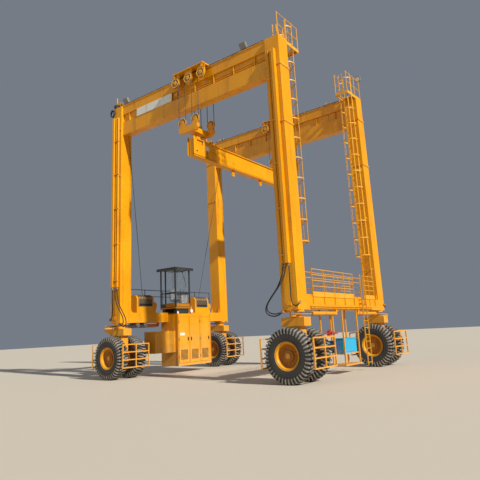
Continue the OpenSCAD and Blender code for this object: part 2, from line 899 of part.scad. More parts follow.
module ground_ladder() {
    x = span_x / 2 + pipe_d + 110;
    color(orange) {
        for (side = [-1, 1]) {
            block(x - 25, x + 25, ladder_y + side * ladder_w / 2 - 12,
                ladder_y + side * ladder_w / 2 + 12, 250, sill_top + rail_h);
            for (z = [sill_top - 80, sill_z + 220])
                block(span_x / 2, x, ladder_y + side * ladder_w / 2 - 12,
                    ladder_y + side * ladder_w / 2 + 12, z, z + 60);
        }
        for (z = [350 : rung_step : sill_top - 60])
            bar([x, ladder_y - ladder_w / 2, z], [x, ladder_y + ladder_w / 2, z], rung_d);
    }
}

// Dark handrail along the outer edge of the left sill
hand_y = in_y - 215;
hand_h = 1260;
hand_posts = 6;

module railing_left() {
    x = -span_x / 2 + 25;
    color(dark) {
        for (k = [0 : hand_posts - 1]) {
            y = -hand_y + k * 2 * hand_y / (hand_posts - 1);
            bar([x, y, sill_top], [x, y, sill_top + hand_h], 40);
        }
        for (z = [sill_top + hand_h - 20, sill_top + hand_h - 360])
            bar([x, -hand_y, z], [x, hand_y, z], 36);
    }
}

// Cab with open sides, a floor and an overhanging roof

roof_out = 140;
roof_t = 90;
floor_t = 80;
kick_h = 200;
mid_z = 820;

module cab() {
    x0 = cab_x0;
    x1 = cab_x1;
    y0 = cab_y0;
    y1 = cab_y0 + cab_y;
    color(dark) {
        block(x0, x1, y0, y1, cab_z, cab_z + floor_t);
        block(x0 - roof_out, x1 + roof_out, y0 - roof_out, y1 + roof_out,
            cab_z + floor_t + cab_h, cab_z + floor_t + cab_h + roof_t);
        for (x = [x0, x1 - cab_post])
            for (y = [y0, y1 - cab_post])
                block(x, x + cab_post, y, y + cab_post, cab_z + floor_t, cab_z + floor_t + cab_h);
        cab_band(x0, x1, y0, y1, cab_z + floor_t, kick_h);
        cab_band(x0, x1, y0, y1, cab_z + mid_z, 50);
        block(x0 + 350, x0 + 350 + cab_post, y0, y0 + cab_post,
            cab_z + floor_t, cab_z + floor_t + cab_h);
        block(x0 - roof_out, x1 + roof_out, y0 - roof_out, y0 - roof_out + 20,
            cab_z + floor_t + cab_h - 60, cab_z + floor_t + cab_h + 1);
        block(x1 + roof_out - 20, x1 + roof_out, y0 - roof_out, y1 + roof_out,
            cab_z + floor_t + cab_h - 60, cab_z + floor_t + cab_h + 1);
        block(x1 - 260, x1 - 60, y0 + 100, y1 - 100, plinth_z, cab_z);
        block(x0 + 60, x0 + 260, y0 + 100, y1 - 100, sill_top, cab_z);
    }
}

plinth_z = sill_top - 90;
door_w = 620;

// Band of wall round three sides, open for the door on the outer side
module cab_band(x0, x1, y0, y1, z, h) {
    t = 40;
    block(x1 - t, x1, y0, y1, z, z + h);
    block(x0, x1, y0, y0 + t, z, z + h);
    block(x0, x1, y1 - t, y1, z, z + h);
    block(x0, x0 + t, y0 + cab_post + door_w, y1, z, z + h);
}

// Seat on a pedestal, and a console with a sloped top beside it
module operator_seat() {
    x = cab_x1 - 330;
    y1 = cab_y0 + cab_y - 140;
    z = cab_z + floor_t;
    seat_x = cab_x0 + 200;
    color("#e8e8ea") {
        translate([0, y1, 0])
            rotate([90, 0, 0])
                linear_extrude(450)
                    polygon([[x, z], [x + 230, z], [x + 230, z + 780], [x + 150, z + 800],
                        [x, z + 620]]);
        translate([seat_x + 230, y1 - 240, z])
            cylinder(d = 140, h = 380, $fn = 32);
        block(seat_x, seat_x + 460, y1 - 470, y1 - 10, z + 360, z + 460);
        translate([0, y1 - 10, 0])
            rotate([90, 0, 0])
                linear_extrude(460)
                    polygon([[seat_x, z + 459], [seat_x + 100, z + 459],
                        [seat_x + 40, z + 1080], [seat_x - 50, z + 1080]]);
    }
}

// Power house, hung on the left sill and notched round it

house_x0 = -clevis_x + barrel_d / 2 + 35;
house_x1 = -in_x + house_out;
house_y0 = house_y - house_len / 2;
doors = 3;
door_gap = 25;
door_out = 22;
beacon_d = 84;

module power_house() {
    color(orange) {
        translate([0, house_y0 + house_len, 0])
            rotate([90, 0, 0])
                linear_extrude(house_len)
                    polygon([[house_x0, house_z], [house_x1, house_z],
                        [house_x1, plinth_z], [-in_x, plinth_z],
                        [-in_x, sill_z], [house_x0, sill_z]]);
        step = (house_len - 100) / doors;
        for (k = [0 : doors - 1])
            house_door(house_y0 + 50 + k * step + door_gap / 2, step - door_gap);
        for (y = [house_y0 - 20, house_y0 + house_len])
            block(house_x1 - 60, house_x1 + 40, y, y + 20, house_z, plinth_z);
        exhaust();
        translate([house_x1 - 55, house_y0 + 80, plinth_z])
            cylinder(d = beacon_d, h = 120, $fn = 48);
    }
}

// Door leaf with a raised edge and a louvred lower part
module house_door(y, w) {
    z0 = house_z + 150;
    z1 = plinth_z - 120;
    x = house_x1 - 1;
    block(x, x + door_out, y, y + w, z0, z1);
    for (a = [y, y + w - 50])
        block(x, x + door_out + 14, a, a + 50, z0, z1);
    for (a = [z0, z1 - 50])
        block(x, x + door_out + 14, y, y + w, a, a + 50);
    for (k = [0 : 8])
        block(x, x + door_out + 12, y + 150, y + w - 150, z0 + 150 + k * 60, z0 + 175 + k * 60);
}

exhaust_d = 100;
exhaust_y = 330;

// Exhaust stack with a bend at its top
module exhaust() {
    x = house_x1 - 180;
    translate([x, exhaust_y, plinth_z])
        cylinder(d = 200, h = 40, $fn = 48);
    translate([x, exhaust_y, plinth_z])
        cylinder(d = exhaust_d, h = 280, $fn = 48);
    translate([x, exhaust_y - 120, plinth_z + 280])
        rotate([90, 0, 90])
            rotate_extrude(angle = 90, $fn = 48)
                translate([120, 0])
                    circle(d = exhaust_d, $fn = 48);
}

tank_x1 = -in_x + 510;
tank_x0 = -span_x / 2 + 410;
tank_len = 1450;
tank_z0 = 1070;
tank_z1 = 2160;

module fluid_tank() {
    y1 = house_y0;
    color(orange) {
        block(tank_x0, tank_x1, y1 - tank_len, y1, tank_z0, tank_z1);
        translate([(tank_x0 + tank_x1) / 2, y1 - 140, tank_z1 - 1])
            cylinder(d = 110, h = 70, $fn = 32);
        block(tank_x0 - 15, tank_x1 + 15, y1 - tank_len - 15, y1, tank_z0 + 90, tank_z0 + 130);
    }
}

// Winch under an arched cover, with its motor at one end

module winch(y) {
    x0 = -pin_x - winch_w / 2;
    round_r = 240;
    color(orange) {
        translate([0, y + winch_len / 2, 0])
            rotate([90, 0, 0])
                linear_extrude(winch_len) {
                    translate([x0, sill_top])
                        square([winch_w, winch_h - round_r]);
                    translate([x0 + round_r, sill_top])
                        square([winch_w - 2 * round_r, winch_h]);
                    for (x = [x0 + round_r, x0 + winch_w - round_r])
                        translate([x, sill_top + winch_h - round_r])
                            circle(r = round_r, $fn = 64);
                }
        for (k = [0 : 5])
            block(-pin_x + 20, x0 + winch_w + 6, y - winch_len / 2 + 160 + k * 150,
                y - winch_len / 2 + 250 + k * 150, sill_top + winch_h - 260,
                sill_top + winch_h - 130);
        rod_y(-pin_x, y + winch_len / 2 - 1, y + winch_len / 2 + 60, sill_top + 360, 520);
        rod_y(-pin_x, y + winch_len / 2 + 59, y + winch_len / 2 + 300, sill_top + 360, 440);
        for (k = [0 : 11])
            translate([-pin_x, y + winch_len / 2 + 59, sill_top + 360])
                rotate([0, k * 30, 0])
                    translate([-8, 0, 200])
                        cube([16, 220, 40]);
        block(-pin_x - 200, -pin_x + 200, y + winch_len / 2 + 80, y + winch_len / 2 + 240,
            sill_top, sill_top + 200);
    }
}

// Frame and tray hung under the right sill

frame_y0 = -600;
frame_y1 = 900;
tray_z = 330;

module service_frame() {
    x0 = in_x + 60;
    x1 = span_x / 2 - 20;
    color(orange) {
        for (x = [x0, x1 - 60])
            for (y = [frame_y0, frame_y1 - 60])
                block(x, x + 60, y, y + 60, tray_z, sill_z);
        block(x0, x1, frame_y0, frame_y1, tray_z, tray_z + 60);
        block(x0 + 40, x1 - 40, frame_y0 + 40, frame_y1 - 40, shelf_z, shelf_z + shelf_t);
        for (y = hanger_y)
            block(pin_x - 30, pin_x + 30, y, y + 60, hanger_z, sill_z);
    }
}

module blue_cabinet() {
    x1 = span_x / 2 - 90;
    y0 = frame_y0 + 130;
    y1 = frame_y1 - 200;
    color("#2f8fc4") {
        block(x1 - cabinet_w, x1, y0, y1, shelf_z + shelf_t, shelf_z + shelf_t + cabinet_h);
        block(x1 - 1, x1 + lid_out, y0 + 60, y1 - 60, shelf_z + shelf_t + 60,
            shelf_z + shelf_t + cabinet_h - 60);
        block(x1 - cabinet_w - lid_out, x1 + lid_out, y0 - lid_out, y1 + lid_out,
            shelf_z + shelf_t + cabinet_h - 1, shelf_z + shelf_t + cabinet_h + 30);
    }
}

shelf_z = 800;
shelf_t = 40;
cabinet_w = 500;
cabinet_h = 590;
lid_out = 20;
hanger_z = 1390;
hanger_y = [-2000, -900];
motor_d = 420;
motor_y = hanger_y[0] - 50;
motor_len = 750;
motor_z = 1140;

// Motor with ribs and a fan cowl, its pump, and the rail that they hang from
module pump_set() {
    color("#1d4f86") {
        rod_y(pin_x, motor_y, motor_y + motor_len, motor_z, motor_d - 60);
        for (k = [0 : 15])
            translate([pin_x, motor_y + 160, motor_z])
                rotate([0, k * 22.5, 0])
                    translate([-7, 0, motor_d / 2 - 50])
                        cube([14, motor_len - 240, 50]);
        rod_y(pin_x, motor_y - 10, motor_y + 150, motor_z, motor_d);
        block(pin_x - 230, pin_x + 230, motor_y + motor_len - 1, motor_y + motor_len + 520,
            900, hanger_z);
        rod_y(pin_x, motor_y + motor_len + 518, motor_y + motor_len + 640, motor_z, 220);
        block(pin_x - 50, pin_x + 50, motor_y + 60, motor_y + motor_len + 200,
            motor_z + motor_d / 2 - 40, hanger_z);
    }
}

// Red pipe between its two hangers, with a valve block
module red_manifold() {
    z = 1700;
    color("#b3301d") {
        rod_y(pin_x + 150, hanger_y[0] - 300, hanger_y[1] + 60, z, 70);
        for (y = hanger_y)
            block(pin_x + 30, pin_x + 150, y + 10, y + 50, z - 25, z + 25);
        block(pin_x + 90, pin_x + 210, -1640, -1400, z - 90, z + 90);
        for (y = [-1600, -1520, -1440])
            translate([pin_x + 150, y, z + 89])
                cylinder(d = 40, h = 60, $fn = 32);
    }
}

tank_d = 230;
tank_z = sill_z - 125;
tank_y = [-pin_y + 765, -pin_y + 1275];

// Two air tanks strapped under the left sill
module air_tanks() {
    x0 = -span_x / 2 + 210;
    x1 = -in_x + 60;
    color("#b9bcbf")
        for (y = tank_y) {
            translate([x0, y, tank_z])
                rotate([0, 90, 0])
                    cylinder(d = tank_d, h = x1 - x0, $fn = 64);
            for (x = [x0 - 18, x1 - 1])
                translate([x, y, tank_z])
                    rotate([0, 90, 0])
                        cylinder(d = tank_d - 60, h = 19, $fn = 64);
            for (x = [x0 + 100, x1 - 160])
                block(x, x + 40, y - 60, y + 60, tank_z, sill_z);
        }
}

// Hoses that hang from the ends of the leg's conduits
gland_d = 64;
hose_d = 46;
hose_sides = 10;
hose_step = 125;
loop_ends = [[pin_x - 300, pin_y + 300, 2590], [pin_x - 300, pin_y + 405, 2590]];
drop_end = [pin_x + 410, pin_y + 245, 2920];
// Points of the hoses, from the leg's axis and the ground
loop_a = [[-185, 405, 4399.7], [-185, 405, 4350], [-190, 410, 4150], [-250, 430, 3880],
    [-460, 470, 3480], [-760, 505, 3120], [-950, 515, 2850], [-990, 505, 2650],
    [-900, 465, 2510], [-680, 405, 2450], [-490, 335, 2505], [-390, 305, 2580],
    [-325, 300, 2590], [-300.3, 300, 2590]];
loop_b = [[-55, 405, 4399.7], [-55, 405, 4350], [-62, 415, 4150], [-130, 460, 3880],
    [-340, 530, 3520], [-630, 575, 3180], [-830, 595, 2920], [-880, 585, 2720],
    [-800, 545, 2590], [-620, 485, 2530], [-470, 440, 2548], [-390, 410, 2584],
    [-325, 405, 2590], [-300.3, 405, 2590]];
drop_c = [[130, 435, 4399.7], [130, 435, 3900], [128, 435, 3400], [130, 437, 3080],
    [170, 445, 2880], [270, 435, 2790], [370, 395, 2810], [410, 330, 2875],
    [410, 275, 2920], [410, 245.3, 2920]];

// Point on a smooth curve through the points p, at share t of its stretch k
function knot(p, k) = p[min(max(k, 0), len(p) - 1)];
function curve(p, k, t) = 0.5 * (2 * knot(p, k) + (knot(p, k + 1) - knot(p, k - 1)) * t
    + (2 * knot(p, k - 1) - 5 * knot(p, k) + 4 * knot(p, k + 1) - knot(p, k + 2)) * t * t
    + (3 * knot(p, k) - knot(p, k - 1) - 3 * knot(p, k + 1) + knot(p, k + 2)) * t * t * t);
function route(p) = [for (k = [0 : len(p) - 2])
    let (n = max(1, round(norm(p[k + 1] - p[k]) / hose_step)))
        for (j = [0 : k == len(p) - 2 ? n : n - 1]) curve(p, k, j / n)];
function unit(v) = v / norm(v);
function way_at(r, k) = unit(r[min(k + 1, len(r) - 1)] - r[max(k - 1, 0)]);
function hose_ring(r, k) =
    let (w = way_at(r, k), a = unit(cross(w, [0.2, 1, 0.1])), b = cross(w, a))
        [for (j = [0 : hose_sides - 1])
            r[k] + (a * cos(j * 360 / hose_sides) + b * sin(j * 360 / hose_sides)) * hose_d / 2];

module hose(p) {
    r = route([for (q = p) q + [pin_x, pin_y, 0]]);
    n = len(r);
    points = [for (k = [0 : n - 1]) each hose_ring(r, k)];
    sides = [for (k = [0 : n - 2]) for (j = [0 : hose_sides - 1])
        [k * hose_sides + j, k * hose_sides + (j + 1) % hose_sides,
            (k + 1) * hose_sides + (j + 1) % hose_sides, (k + 1) * hose_sides + j]];
    caps = [[for (j = [hose_sides - 1 : -1 : 0]) j],
        [for (j = [0 : hose_sides - 1]) (n - 1) * hose_sides + j]];
    polyhedron(points, concat(sides, caps));
}

module hoses(loops) {
    color("#1b1b1c") {
        hose(drop_c);
        if (loops) {
            hose(loop_a);
            hose(loop_b);
        }
    }
}

corner(-1, -1) leg();  // leg_near_left
corner(1, -1) leg();  // leg_near_right
corner(-1, 1) leg();  // leg_far_left
corner(1, 1) leg();  // leg_far_right
corner(1, -1) girder();  // girder_near
corner(1, 1) girder();  // girder_far
corner(-1, 1) sill();  // sill_left
corner(1, 1) sill();  // sill_right
corner(1, -1) caged_ladder();  // caged_ladder_near
corner(1, 1) caged_ladder();  // caged_ladder_far
walkway_right();
ground_ladder();
railing_left();
cab();
operator_seat();
power_house();
fluid_tank();
winch(winch_y[0]);  // winch_near
winch(winch_y[1]);  // winch_far
service_frame();
blue_cabinet();
air_tanks();
pump_set();
red_manifold();
blank_board();
floodlights();
fixed_ropes();
corner(-1, -1) hoses(true);  // hoses_near_left
corner(1, -1) hoses(true);  // hoses_near_right
corner(-1, 1) hoses(false);  // hoses_far_left
corner(1, 1) hoses(false);  // hoses_far_right
corner(1, -1) trolley();  // trolley_near
corner(1, 1) trolley();  // trolley_far
corner(1, -1) hoist_ropes();  // hoist_ropes_near
corner(1, 1) hoist_ropes();  // hoist_ropes_far
corner(1, -1) hook_block();  // hook_block_near
corner(1, 1) hook_block();  // hook_block_far
spreader_beam();
corner(-1, -1) bogie(true);  // bogie_near_left
corner(1, -1) bogie(false);  // bogie_near_right
corner(-1, 1) bogie(true);  // bogie_far_left
corner(1, 1) bogie(false);  // bogie_far_right
corner_wheel(-1, -1, 1);  // wheel_near_left_outer
corner_wheel(-1, -1, -1);  // wheel_near_left_inner
corner_wheel(1, -1, 1);  // wheel_near_right_outer
corner_wheel(1, -1, -1);  // wheel_near_right_inner
corner_wheel(-1, 1, 1);  // wheel_far_left_outer
corner_wheel(-1, 1, -1);  // wheel_far_left_inner
corner_wheel(1, 1, 1);  // wheel_far_right_outer
corner_wheel(1, 1, -1);  // wheel_far_right_inner
corner(-1, -1) steer_barrel();  // steer_barrel_near_left
corner(1, -1) steer_barrel();  // steer_barrel_near_right
corner(-1, 1) steer_barrel();  // steer_barrel_far_left
corner(1, 1) steer_barrel();  // steer_barrel_far_right
corner(-1, -1) steer_rod();  // steer_rod_near_left
corner(1, -1) steer_rod();  // steer_rod_near_right
corner(-1, 1) steer_rod();  // steer_rod_far_left
corner(1, 1) steer_rod();  // steer_rod_far_right
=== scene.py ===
"""Dresses a rubber tyred gantry crane: paint, tyres, ropes, hoses, bolts, doors,
glass and lamps, on a frame whose nodes keep their places.

X runs along the girders, Y along the sill beams and Z up, in metres, and the
ground is z = 0."""
import math

import bpy
import numpy as np
from mathutils import Matrix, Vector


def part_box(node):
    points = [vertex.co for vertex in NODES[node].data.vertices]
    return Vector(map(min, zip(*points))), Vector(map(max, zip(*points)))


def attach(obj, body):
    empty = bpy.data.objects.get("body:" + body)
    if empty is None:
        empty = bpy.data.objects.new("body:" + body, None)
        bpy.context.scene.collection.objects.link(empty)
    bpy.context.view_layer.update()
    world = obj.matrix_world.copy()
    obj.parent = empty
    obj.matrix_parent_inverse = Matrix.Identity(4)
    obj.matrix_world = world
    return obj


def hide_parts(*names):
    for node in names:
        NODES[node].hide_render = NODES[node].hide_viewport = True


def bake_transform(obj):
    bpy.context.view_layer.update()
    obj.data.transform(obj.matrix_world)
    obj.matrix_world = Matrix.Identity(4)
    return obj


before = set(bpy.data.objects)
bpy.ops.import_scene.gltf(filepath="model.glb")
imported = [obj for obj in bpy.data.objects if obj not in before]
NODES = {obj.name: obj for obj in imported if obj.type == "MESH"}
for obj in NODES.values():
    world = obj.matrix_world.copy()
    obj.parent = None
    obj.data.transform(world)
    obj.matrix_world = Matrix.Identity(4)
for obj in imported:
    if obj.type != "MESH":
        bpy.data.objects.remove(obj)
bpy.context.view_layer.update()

bl_info = {
    "name": "Gantry Crane Dresser",
    "version": (1, 0, 0),
    "blender": (4, 5, 0),
    "location": "View3D > Sidebar > Crane",
    "description": "Paint, tyres, ropes and fittings for a wheeled portal crane",
    "category": "Object",
}

# Corners, as (name, sign of x, sign of y), and sides, as (name, sign of y)
CORNERS = [("near_left", -1, -1), ("near_right", 1, -1), ("far_left", -1, 1), ("far_right", 1, 1)]
SIDES = [("near", -1), ("far", 1)]

# Places and sizes that several pieces share, in metres: wheels, sill, trolleys, girders, the
# bogies' turning pins, the sheaves (radius of the rope on them, distance of a row from the
# trolley's middle, half a width, heights of the upper and the lower ones), winches and beam
WHEEL_LOW, WHEEL_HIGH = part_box("wheel_near_right_outer")
TYRE_R = (WHEEL_HIGH.z - WHEEL_LOW.z) / 2
SILL_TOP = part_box("sill_right")[1].z
TROLLEY_LOW, TROLLEY_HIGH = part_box("trolley_far")
TROLLEY_X = (TROLLEY_LOW.x + TROLLEY_HIGH.x) / 2
GIRDER_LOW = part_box("girder_far")[0].z
GIRDER_TOP = GIRDER_LOW + 1.7
PIN_X, PIN_Y = 5.06, 3.865
SHEAVE_R, SHEAVE_Y, SHEAVE_HALF = 0.205, 0.55, 0.035
UPPER_Z, LOWER_Z = 13.87, 11.65
WINCH_Y = [-2.505, 1.9]
BEAM_TOP = 10.83

# Edges of a smooth piece stay sharp where its faces turn by more than this, in radians
CRISP_ANGLE = 0.6

# Filled by make_materials: the two shared groups, and each material by its finish's name
GROUPS, MAT = {}, {}


# Surfaces


def add_mesh(name, points, faces, material, body, smooth=True):
    """Makes a mesh object from points and faces, riding on a body if one is named."""
    mesh = bpy.data.meshes.new(name)
    mesh.from_pydata(np.asarray(points, float).tolist(), [], [list(map(int, f)) for f in faces])
    mesh.update()
    mesh.shade_smooth() if smooth else mesh.shade_flat()
    mesh.materials.append(material)
    piece = bpy.data.objects.new(name, mesh)
    bpy.context.scene.collection.objects.link(piece)
    if body:
        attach(piece, body)
    return piece


def add_parts(name, parts, finish, body="frame", smooth=True):
    """Makes one piece of several (points, faces), with a finish by its name."""
    return add_mesh(name, *join_parts(parts), MAT[finish], body, smooth)


def crisp(piece):
    """Keeps the sharp edges of a smooth piece sharp."""
    piece.data.set_sharp_from_angle(angle=CRISP_ANGLE)
    return piece


def grid_faces(rows, columns, close_rows=False, close_columns=False):
    """Quads over a grid of rows by columns, which may close on itself."""
    faces = []
    for i in range(rows if close_rows else rows - 1):
        k = (i + 1) % rows
        for j in range(columns if close_columns else columns - 1):
            m = (j + 1) % columns
            faces.append((i * columns + j, k * columns + j, k * columns + m, i * columns + m))
    return faces


def join_parts(parts):
    """Puts several parts together as one; a part is its (points, faces)."""
    points, faces, base = [], [], 0
    for p, f in parts:
        points.append(np.asarray(p, float))
        faces += [tuple(base + k for k in face) for face in f]
        base += len(p)
    return np.vstack(points), faces


def revolve(profile, around, count, at=(0, 0, 0)):
    """Surface of revolution. A point at angle a stands at distance r from the
    axis, in the direction (cos a, sin a), and at its own place along the axis;
    profile lists (r, place), and around names the axis."""
    profile = np.asarray(profile, float)
    angle = np.linspace(0, 2 * math.pi, count, endpoint=False)
    r, along = profile[:, 0], profile[:, 1]
    u = np.outer(np.cos(angle), r)
    v = np.outer(np.sin(angle), r)
    w = np.broadcast_to(along, u.shape)
    order = {"x": (w, u, v), "y": (v, w, u), "z": (u, v, w)}[around]
    points = np.stack(order, -1).reshape(-1, 3) + np.asarray(at)
    return points, grid_faces(count, len(profile), close_rows=True)


def frames_along(path):
    """Side and up directions at each point of a path, square to it: each side is
    the one before it with its part along the path taken out."""
    path = np.asarray(path, float)
    way = np.gradient(path, axis=0)
    way /= np.linalg.norm(way, axis=1)[:, None]
    side = np.cross(way[0], (0, 0, 1))
    if np.linalg.norm(side) < 1e-3:
        side = np.array((1.0, 0, 0))
    sides = []
    for t in way:
        side = side - t * side.dot(t)
        side = side / np.linalg.norm(side)
        sides.append(side)
    sides = np.array(sides)
    return sides, np.cross(way, sides)


def lengths_along(path):
    """Length of a path from its start to each of its points."""
    return np.r_[0, np.cumsum(np.linalg.norm(np.diff(path, axis=0), axis=1))]


def tube(path, radius, around, twist=0.0, strands=0, depth=0.0):
    """Tube along a path. The ring at length s has the radius
    r - depth + depth * |cos(strands / 2 * (a - twist * s))| at angle a, so that
    a rope shows its strands; with no strands it is round. The radius may be a
    list, one for each point."""
    path = np.asarray(path, float)
    run = lengths_along(path)[:, None]
    side, up = frames_along(path)
    a = np.linspace(0, 2 * math.pi, around, endpoint=False)
    r = np.broadcast_to(np.reshape(radius, (-1, 1)), (len(path), around))
    if strands:
        r = r - depth + depth * np.abs(np.cos(strands / 2 * (a[None] - twist * run)))
    points = (path[:, None] + r[..., None] * (np.cos(a)[None, :, None] * side[:, None]
              + np.sin(a)[None, :, None] * up[:, None])).reshape(-1, 3)
    faces = grid_faces(len(path), around, close_columns=True)
    last = (len(path) - 1) * around
    faces.append(tuple(range(around)))
    faces.append(tuple(last + k for k in reversed(range(around))))
    return points, faces


def smooth_path(points, step):
    """Smooth curve through the points: on each stretch a cubic whose slope at
    an end is half the chord between that end's two neighbours."""
    p = np.asarray(points, float)
    p = np.vstack([p[0], p, p[-1]])
    out = []
    for k in range(1, len(p) - 2):
        n = max(2, int(np.linalg.norm(p[k + 1] - p[k]) / step))
        t = np.linspace(0, 1, n, endpoint=False)[:, None]
        a = 2 * p[k]
        b = p[k + 1] - p[k - 1]
        c = 2 * p[k - 1] - 5 * p[k] + 4 * p[k + 1] - p[k + 2]
        d = -p[k - 1] + 3 * p[k] - 3 * p[k + 1] + p[k + 2]
        out.append(0.5 * (a + b * t + c * t ** 2 + d * t ** 3))
    out.append(p[-2:-1])
    return np.vstack(out)


def slab(low, high, edge=0.006):
    """Box between two corners whose twelve edges are cut back by a chamfer: its
    points are each corner moved in by the chamfer along two of three axes."""
    low, high = np.asarray(low, float), np.asarray(high, float)
    edge = min(edge, (high - low).min() * 0.45)
    corners = [(cx, cy, cz) for cx in (0, 1) for cy in (0, 1) for cz in (0, 1)]
    points, index = [], {}
    for corner in corners:
        beyond = np.array(corner) == 1
        base = np.where(beyond, high, low)
        for axis in range(3):
            p = base + np.where(beyond, -edge, edge)
            p[axis] = base[axis]
            index[(*corner, axis)] = len(points)
            points.append(p)

    def number(ends, axis):
        """Number of the point of a corner that lies in the face across an axis."""
        return index[(ends[0], ends[1], ends[2], axis)]

    faces = []
    for axis in range(3):
        b, c = (axis + 1) % 3, (axis + 2) % 3
        for s in (0, 1):
            ring = [number({axis: s, b: sb, c: sc}, axis)
                    for sb, sc in ((0, 0), (1, 0), (1, 1), (0, 1))]
            faces.append(ring if s else ring[::-1])
            for sc in (0, 1):
                one, two = {axis: 0, b: s, c: sc}, {axis: 1, b: s, c: sc}
                quad = [number(one, b), number(two, b), number(two, c), number(one, c)]
                faces.append(quad if s != sc else quad[::-1])
    for corner in corners:
        tri = [index[(*corner, k)] for k in range(3)]
        faces.append(tri if sum(corner) % 2 else tri[::-1])
    return np.array(points), faces


def turned(part, axis, angle, about):
    """A part turned by an angle about an axis through a point."""
    points, faces = part
    about = np.asarray(about, float)
    m = np.array(Matrix.Rotation(angle, 3, axis))
    return (points - about) @ m.T + about, faces


def flipped(faces):
    """Faces turned to look the other way."""
    return [tuple(reversed(f)) for f in faces]


def mirrored(part, side):
    """A part as it is for the side 1, and mirrored in y for the side -1, with
    its faces kept outward."""
    points, faces = part
    return points * np.array((1, side, 1)), flipped(faces) if side < 0 else faces


def turned_part(profile, side, at, count):
    """Surface of revolution about a line along Y through a point. Its profile
    lists (distance from the line, place along it), and it looks towards a side."""
    points, faces = mirrored(revolve(profile[::-1], "y", count), side)
    return points + np.asarray(at, float), faces


def strap(width, low, high, path, ups):
    """Flat bar carried along a path: its side runs along Y to half the width
    each way, and it stands from low to high in the direction given for each point."""
    path, ups = np.asarray(path, float), np.asarray(ups, float)
    half = width / 2
    section = [(-half, low), (half, low), (half, high), (-half, high)]
    rings = [path + np.array((0, side, 0)) + ups * up for side, up in section]
    points = np.stack(rings, 1).reshape(-1, 3)
    faces = grid_faces(len(path), 4, close_columns=True)
    last = (len(path) - 1) * 4
    faces += [(3, 2, 1, 0), (last, last + 1, last + 2, last + 3)]
    return points, flipped(faces)


# Which coordinates a bolt's circle and its length take, for each axis it can point along
BOLT_AXES = {"x": (1, 2, 0), "y": (2, 0, 1), "z": (0, 1, 2)}


def bolt(at, axis, sign, d, h):
    """Hexagon head of size d and height h with a chamfered crown and a washer
    under it, on its seat at a point and pointing along an axis. Each of its five
    rings lists (distance from the middle, height)."""
    a = np.arange(6) * math.pi / 3
    rings = [(d * 0.72, 0), (d * 0.72, 0.003), (d * 0.58, 0.003), (d * 0.58, h * 0.8),
             (d * 0.48, h)]
    points = np.vstack([np.stack([r * np.cos(a), r * np.sin(a), np.full(6, z)], -1)
                        for r, z in rings])
    faces = flipped(grid_faces(len(rings), 6, close_columns=True))
    last = 6 * (len(rings) - 1)
    faces.append(tuple(last + k for k in range(6)))
    points[:, 2] *= sign
    u, v, w = BOLT_AXES[axis]
    out = np.zeros_like(points)
    out[:, u], out[:, v], out[:, w] = points.T
    return out + np.asarray(at, float), flipped(faces) if sign < 0 else faces


def nut_ring(at, axis, sign, radius, count, d, h, turn=0.5):
    """Bolts evenly round a circle that faces along an axis, the first one
    turned by a share of the step between two."""
    u, v, _ = BOLT_AXES[axis]
    parts = []
    for k in range(count):
        a = 2 * math.pi * (k + turn) / count
        p = np.array(at, float)
        p[u] += radius * math.cos(a)
        p[v] += radius * math.sin(a)
        parts.append(bolt(p, axis, sign, d, h))
    return parts


def straight_path(start, end, step=0.03):
    """Even points on a straight line."""
    start, end = np.asarray(start, float), np.asarray(end, float)
    n = max(2, int(np.linalg.norm(end - start) / step))
    return start + (end - start) * np.linspace(0, 1, n)[:, None]


# Materials


class Web:
    """A node tree, with short calls that add and link nodes."""

    def __init__(self, tree):
        self.tree = tree

    def add(self, kind, settings=None, **sockets):
        """A new node with its settings made and its sockets fed by their names."""
        node = self.tree.nodes.new(kind)
        for key, value in (settings or {}).items():
            setattr(node, key, value)
        for key, value in sockets.items():
            self.feed(node.inputs[key.replace("_", " ")], value)
        return node

    def feed(self, socket, value):
        """Links another socket to this one, or sets its value."""
        if isinstance(value, bpy.types.NodeSocket):
            self.tree.links.new(value, socket)
        else:
            socket.default_value = value

    def maths(self, operation, a, b, clamp=False):
        """A sum, product or other step with two values, kept within 0 and 1 on demand."""
        node = self.tree.nodes.new("ShaderNodeMath")
        node.operation, node.use_clamp = operation, clamp
        self.feed(node.inputs[0], a)
        self.feed(node.inputs[1], b)
        return node.outputs[0]

    def plus(self, a, b):
        """Two values added."""
        return self.maths("ADD", a, b)

    def times(self, a, b, clamp=False):
        """Two values multiplied."""
        return self.maths("MULTIPLY", a, b, clamp)

    def mix(self, factor, a, b):
        """Colour a times one less the factor, and colour b times the factor."""
        node = self.tree.nodes.new("ShaderNodeMix")
        node.data_type = "RGBA"
        self.feed(node.inputs["Factor"], factor)
        self.feed(node.inputs[6], a)
        self.feed(node.inputs[7], b)
        return node.outputs[2]

    def noise(self, coordinates, scale, detail, stretch=(1, 1, 1)):
        """A noise from 0 to 1 on coordinates that are first stretched."""
        place = self.add("ShaderNodeMapping", Vector=coordinates, Scale=stretch)
        return self.add("ShaderNodeTexNoise", Vector=place.outputs[0], Scale=scale,
                        Detail=detail).outputs["Fac"]

    def band(self, value, low, high):
        """Smooth step of a value from 0 at low to 1 at high."""
        node = self.add("ShaderNodeMapRange", {"interpolation_type": "SMOOTHSTEP"})
        self.feed(node.inputs["Value"], value)
        self.feed(node.inputs["From Min"], low)
        self.feed(node.inputs["From Max"], high)
        return node.outputs["Result"]


